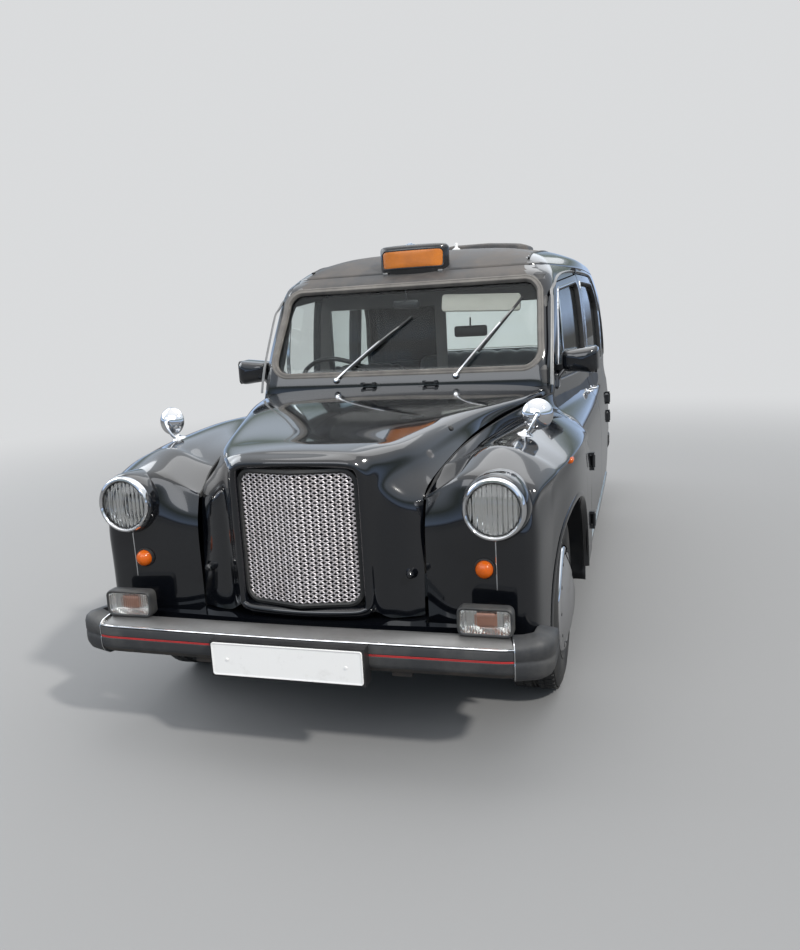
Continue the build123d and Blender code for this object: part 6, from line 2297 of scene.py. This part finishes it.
def steering_wheel():
    side = np.array((1.0, 0.0, 0.0))
    over = np.cross(steering_axis, side)
    turns = np.arange(72) * 2 * pi / 72
    hub = np.array(steering_hub, float)
    line = [hub + steering_axis * 6 + (side * cos(t) + over * sin(t)) * 205 for t in turns]
    ring = sweep("ring", placed(line), circle_section(11.5, 12), BLACK_PLASTIC, closed=True, up=steering_axis)
    parts = [ring]
    for turn in (radians(12), radians(168), radians(270)):
        way = side * cos(turn) + over * sin(turn)
        spoke_line = smooth_path([hub + way * 26 - steering_axis * 10, hub + way * 100 - steering_axis * 8,
                                  hub + way * 200 + steering_axis * 4], 6)
        parts.append(sweep("spoke", placed(spoke_line), flat_ellipse(26, 8, 12), BLACK_PLASTIC,
                           up=steering_axis))
    parts.append(lathe("hub", ((0, 12), (22, 11), (38, 5), (44, -4), (40, -18), (24, -26), (24, -190),
                               (0, -190)), hub,
                       BLACK_PLASTIC, tuple(steering_axis), 40))
    return merged("steering_wheel_rim", parts)


settle(steering_wheel(), "root", "black_plastic", "steering_wheel")

# Inside mirror, sun visor and a clear pane in the partition
visor = stack("sun_visor", rounded_rectangle(188, 41, 14), ((1, 0), (-2, 3), (-2, 10), (1, 13)), VISOR,
              across=(1, 0, -0.04), upward=(0, 0.34, 0.94), onward=(0, 0.94, -0.34), centre=(346, 1716, 1476))
settle(visor, "root", "trim_plastic")
for index, (x, station, height, half_wide, half_tall) in enumerate(((-20, 1706, 1486, 66, 22),
                                                                    (170, 2318, 1330, 92, 30))):
    mirror = stack(f"inside_mirror_{index + 1}", rounded_rectangle(half_wide, half_tall, 14),
                   ((8, 0), (2, 3), (0, 8), (0, 20), (3, 24)), BLACK_PLASTIC, centre=(x, station, height))
    stem = sweep("stem", placed(smooth_path([(x, station + 4, height + 10), (x, station + 6, height + 40),
                                             (x, station + 12, height + 74)], 4)), circle_section(4.5, 10),
                 BLACK_PLASTIC, up=None)
    settle(merged(f"inside_mirror_{index + 1}_whole", [mirror, stem]), "root", "trim_plastic")
for side, sign in (("left", 1), ("right", -1)):
    glass = block(f"partition_pane_{side}", (min(sign * 31, sign * 659), 2337, 1051),
                  (max(sign * 31, sign * 659), 2343, 1479),
                  GLASS, 1.5)
    settle(glass, "root", "glass", "fixed_glass")

# Dashboard binnacle
binnacle = stack("instrument_binnacle", rounded_rectangle(150, 40, 18),
                 ((14, 1560), (4, 1566), (0, 1580), (0, 1690),
                                                                       (4, 1697), (9, 1694), (12, 1668)),
                 BLACK_PLASTIC,
                 centre=(-422, 0, 1136))
settle(binnacle, "root", "trim_plastic")

# Room, light and camera
scene = bpy.context.scene
scene.view_settings.view_transform = "Standard"


backdrop_colour = (0.70, 0.71, 0.72, 1)
floor_fade_start, floor_fade_end = 3.2, 9.5


def seen_plainly(nodes, links):
    """1 for what the camera sees, straight or through glass, and 0 for what metal and paint reflect."""
    rays = nodes.new("ShaderNodeLightPath")
    direct = linked(nodes, links, "ShaderNodeMath", {0: rays.outputs["Glossy Depth"], 1: 0.5},
                    operation="LESS_THAN")
    through = linked(nodes, links, "ShaderNodeMath",
                     {0: rays.outputs["Is Transmission Ray"], 1: direct.outputs[0]},
                     operation="MULTIPLY")
    return linked(nodes, links, "ShaderNodeMath", {0: rays.outputs["Is Camera Ray"], 1: through.outputs[0]},
                  operation="MAXIMUM")


def room():
    """A plain pale backdrop. Metal and paint also see a darker skyline under a bright sky."""
    world = bpy.data.worlds.new("studio")
    scene.world = world
    world.use_nodes = True
    nodes, links = world.node_tree.nodes, world.node_tree.links
    sky = nodes["Background"]
    place = nodes.new("ShaderNodeTexCoord")
    split = linked(nodes, links, "ShaderNodeSeparateXYZ", {"Vector": place.outputs["Generated"]})
    colours = nodes.new("ShaderNodeValToRGB")
    links.new(split.outputs["Z"], colours.inputs["Fac"])
    ramp = colours.color_ramp
    for place_on_ramp, colour in ((0.0, (0.10, 0.10, 0.10, 1)), (0.04, (0.085, 0.10, 0.085, 1)),
                                  (0.22, (0.16, 0.19, 0.17, 1)), (0.34, (0.62, 0.70, 0.80, 1)),
                                  (1.0, (0.46, 0.60, 0.86, 1))):
        if place_on_ramp in (0.0, 1.0):
            stop = ramp.elements[int(place_on_ramp)]
        else:
            stop = ramp.elements.new(place_on_ramp)
        stop.color = colour
    links.new(colours.outputs["Color"], sky.inputs["Color"])
    sky.inputs["Strength"].default_value = 1.15
    plain_sky = linked(nodes, links, "ShaderNodeBackground", {"Color": backdrop_colour, "Strength": 1.0})
    seen = seen_plainly(nodes, links)
    mixed = linked(nodes, links, "ShaderNodeMixShader", {0: seen.outputs[0], 1: sky.outputs[0],
                                                         2: plain_sky.outputs[0]})
    links.new(mixed.outputs[0], nodes["World Output"].inputs["Surface"])


def floor():
    """Grey ground that fades into the backdrop with distance."""
    mesh = bpy.data.meshes.new("floor")
    reach = 60.0
    mesh.from_pydata([(-reach, -reach, 0), (reach, -reach, 0), (reach, reach, 0), (-reach, reach, 0)], [],
                     [(0, 1, 2, 3)])
    material = bpy.data.materials.new("grey_ground")
    material.use_nodes = True
    nodes, links = material.node_tree.nodes, material.node_tree.links
    ground = nodes["Principled BSDF"]
    ground.inputs["Roughness"].default_value = 0.85
    # Paint and metal see the ground at less than half the grey the camera sees: painted shade in their
    # reflections.
    rays = nodes.new("ShaderNodeLightPath")
    ground_and_reflected_shade = linked(nodes, links, "ShaderNodeMix", {"Factor": rays.outputs["Is Glossy Ray"]}, data_type="RGBA")
    ground_and_reflected_shade.inputs["A"].default_value = (0.25, 0.25, 0.25, 1)
    ground_and_reflected_shade.inputs["B"].default_value = (0.11, 0.11, 0.11, 1)
    links.new(ground_and_reflected_shade.outputs["Result"], ground.inputs["Base Color"])
    place = nodes.new("ShaderNodeTexCoord")
    away = linked(nodes, links, "ShaderNodeVectorMath", {0: place.outputs["Object"]}, operation="LENGTH")
    fade = linked(nodes, links, "ShaderNodeMapRange",
                  {"Value": away.outputs["Value"], "From Min": floor_fade_start,
                                                       "From Max": floor_fade_end},
                  interpolation_type="SMOOTHSTEP")
    seen = seen_plainly(nodes, links)
    share = linked(nodes, links, "ShaderNodeMath", {0: fade.outputs["Result"], 1: seen.outputs[0]},
                   operation="MULTIPLY")
    plain_glow = linked(nodes, links, "ShaderNodeEmission", {"Color": backdrop_colour, "Strength": 1.0})
    mixed = linked(nodes, links, "ShaderNodeMixShader", {0: share.outputs[0], 1: ground.outputs[0],
                                                         2: plain_glow.outputs[0]})
    links.new(mixed.outputs[0], nodes["Material Output"].inputs["Surface"])
    link("floor", mesh, material)


def lamp(name, place, aim, size, power, colour=(1, 1, 1)):
    light = bpy.data.lights.new(name, "AREA")
    light.shape = "RECTANGLE"
    light.size, light.size_y = size
    light.energy = power
    light.color = colour
    stand = bpy.data.objects.new(name, light)
    stand.location = place
    stand.rotation_euler = (Vector(aim) - Vector(place)).to_track_quat("-Z", "Y").to_euler()
    scene.collection.objects.link(stand)


room()
floor()
sun = bpy.data.lights.new("key", "SUN")
sun.energy = 2.3
sun.angle = radians(4)
sun.color = (1.0, 0.97, 0.92)
sun_stand = bpy.data.objects.new("key", sun)
sun_stand.rotation_euler = Vector((-6.0, 3.4, -6.2)).to_track_quat("-Z", "Y").to_euler()
scene.collection.objects.link(sun_stand)
lamp("front", (-1.5, -9.0, 5.5), (0, -1.5, 0.7), (8.0, 4.0), 190, (0.97, 0.98, 1.0))
lamp("fill", (-8.0, 0.5, 5.0), (0, -0.2, 0.9), (7.0, 5.0), 240, (0.94, 0.97, 1.0))
lamp("top", (0.5, 1.2, 8.0), (0, 0.6, 0), (7.0, 8.0), 220)
lamp("rear", (1.5, 9.0, 6.5), (0, 1.0, 0.9), (9.0, 5.0), 90)

camera_place = Vector((1.086, -4.516, 1.422))
yaw, pitch, roll = radians(16.77), radians(10.82), radians(-3.15)
focal_pixels = 819.2
forward = Vector((-sin(yaw) * cos(pitch), cos(yaw) * cos(pitch), -sin(pitch)))
level = Vector((cos(yaw), sin(yaw), 0))
above = level.cross(forward)
rightward = level * cos(roll) + above * sin(roll)
upward = above * cos(roll) - level * sin(roll)
view = bpy.data.cameras.new("view")
view.sensor_fit = "VERTICAL"
view.sensor_height = 36.0
view.lens = focal_pixels * 36.0 / 950
view.clip_start, view.clip_end = 0.05, 200
camera = bpy.data.objects.new("view", view)
turn = Matrix((rightward, upward, -forward)).transposed().to_4x4()
camera.matrix_world = Matrix.Translation(camera_place) @ turn
scene.collection.objects.link(camera)
scene.camera = camera
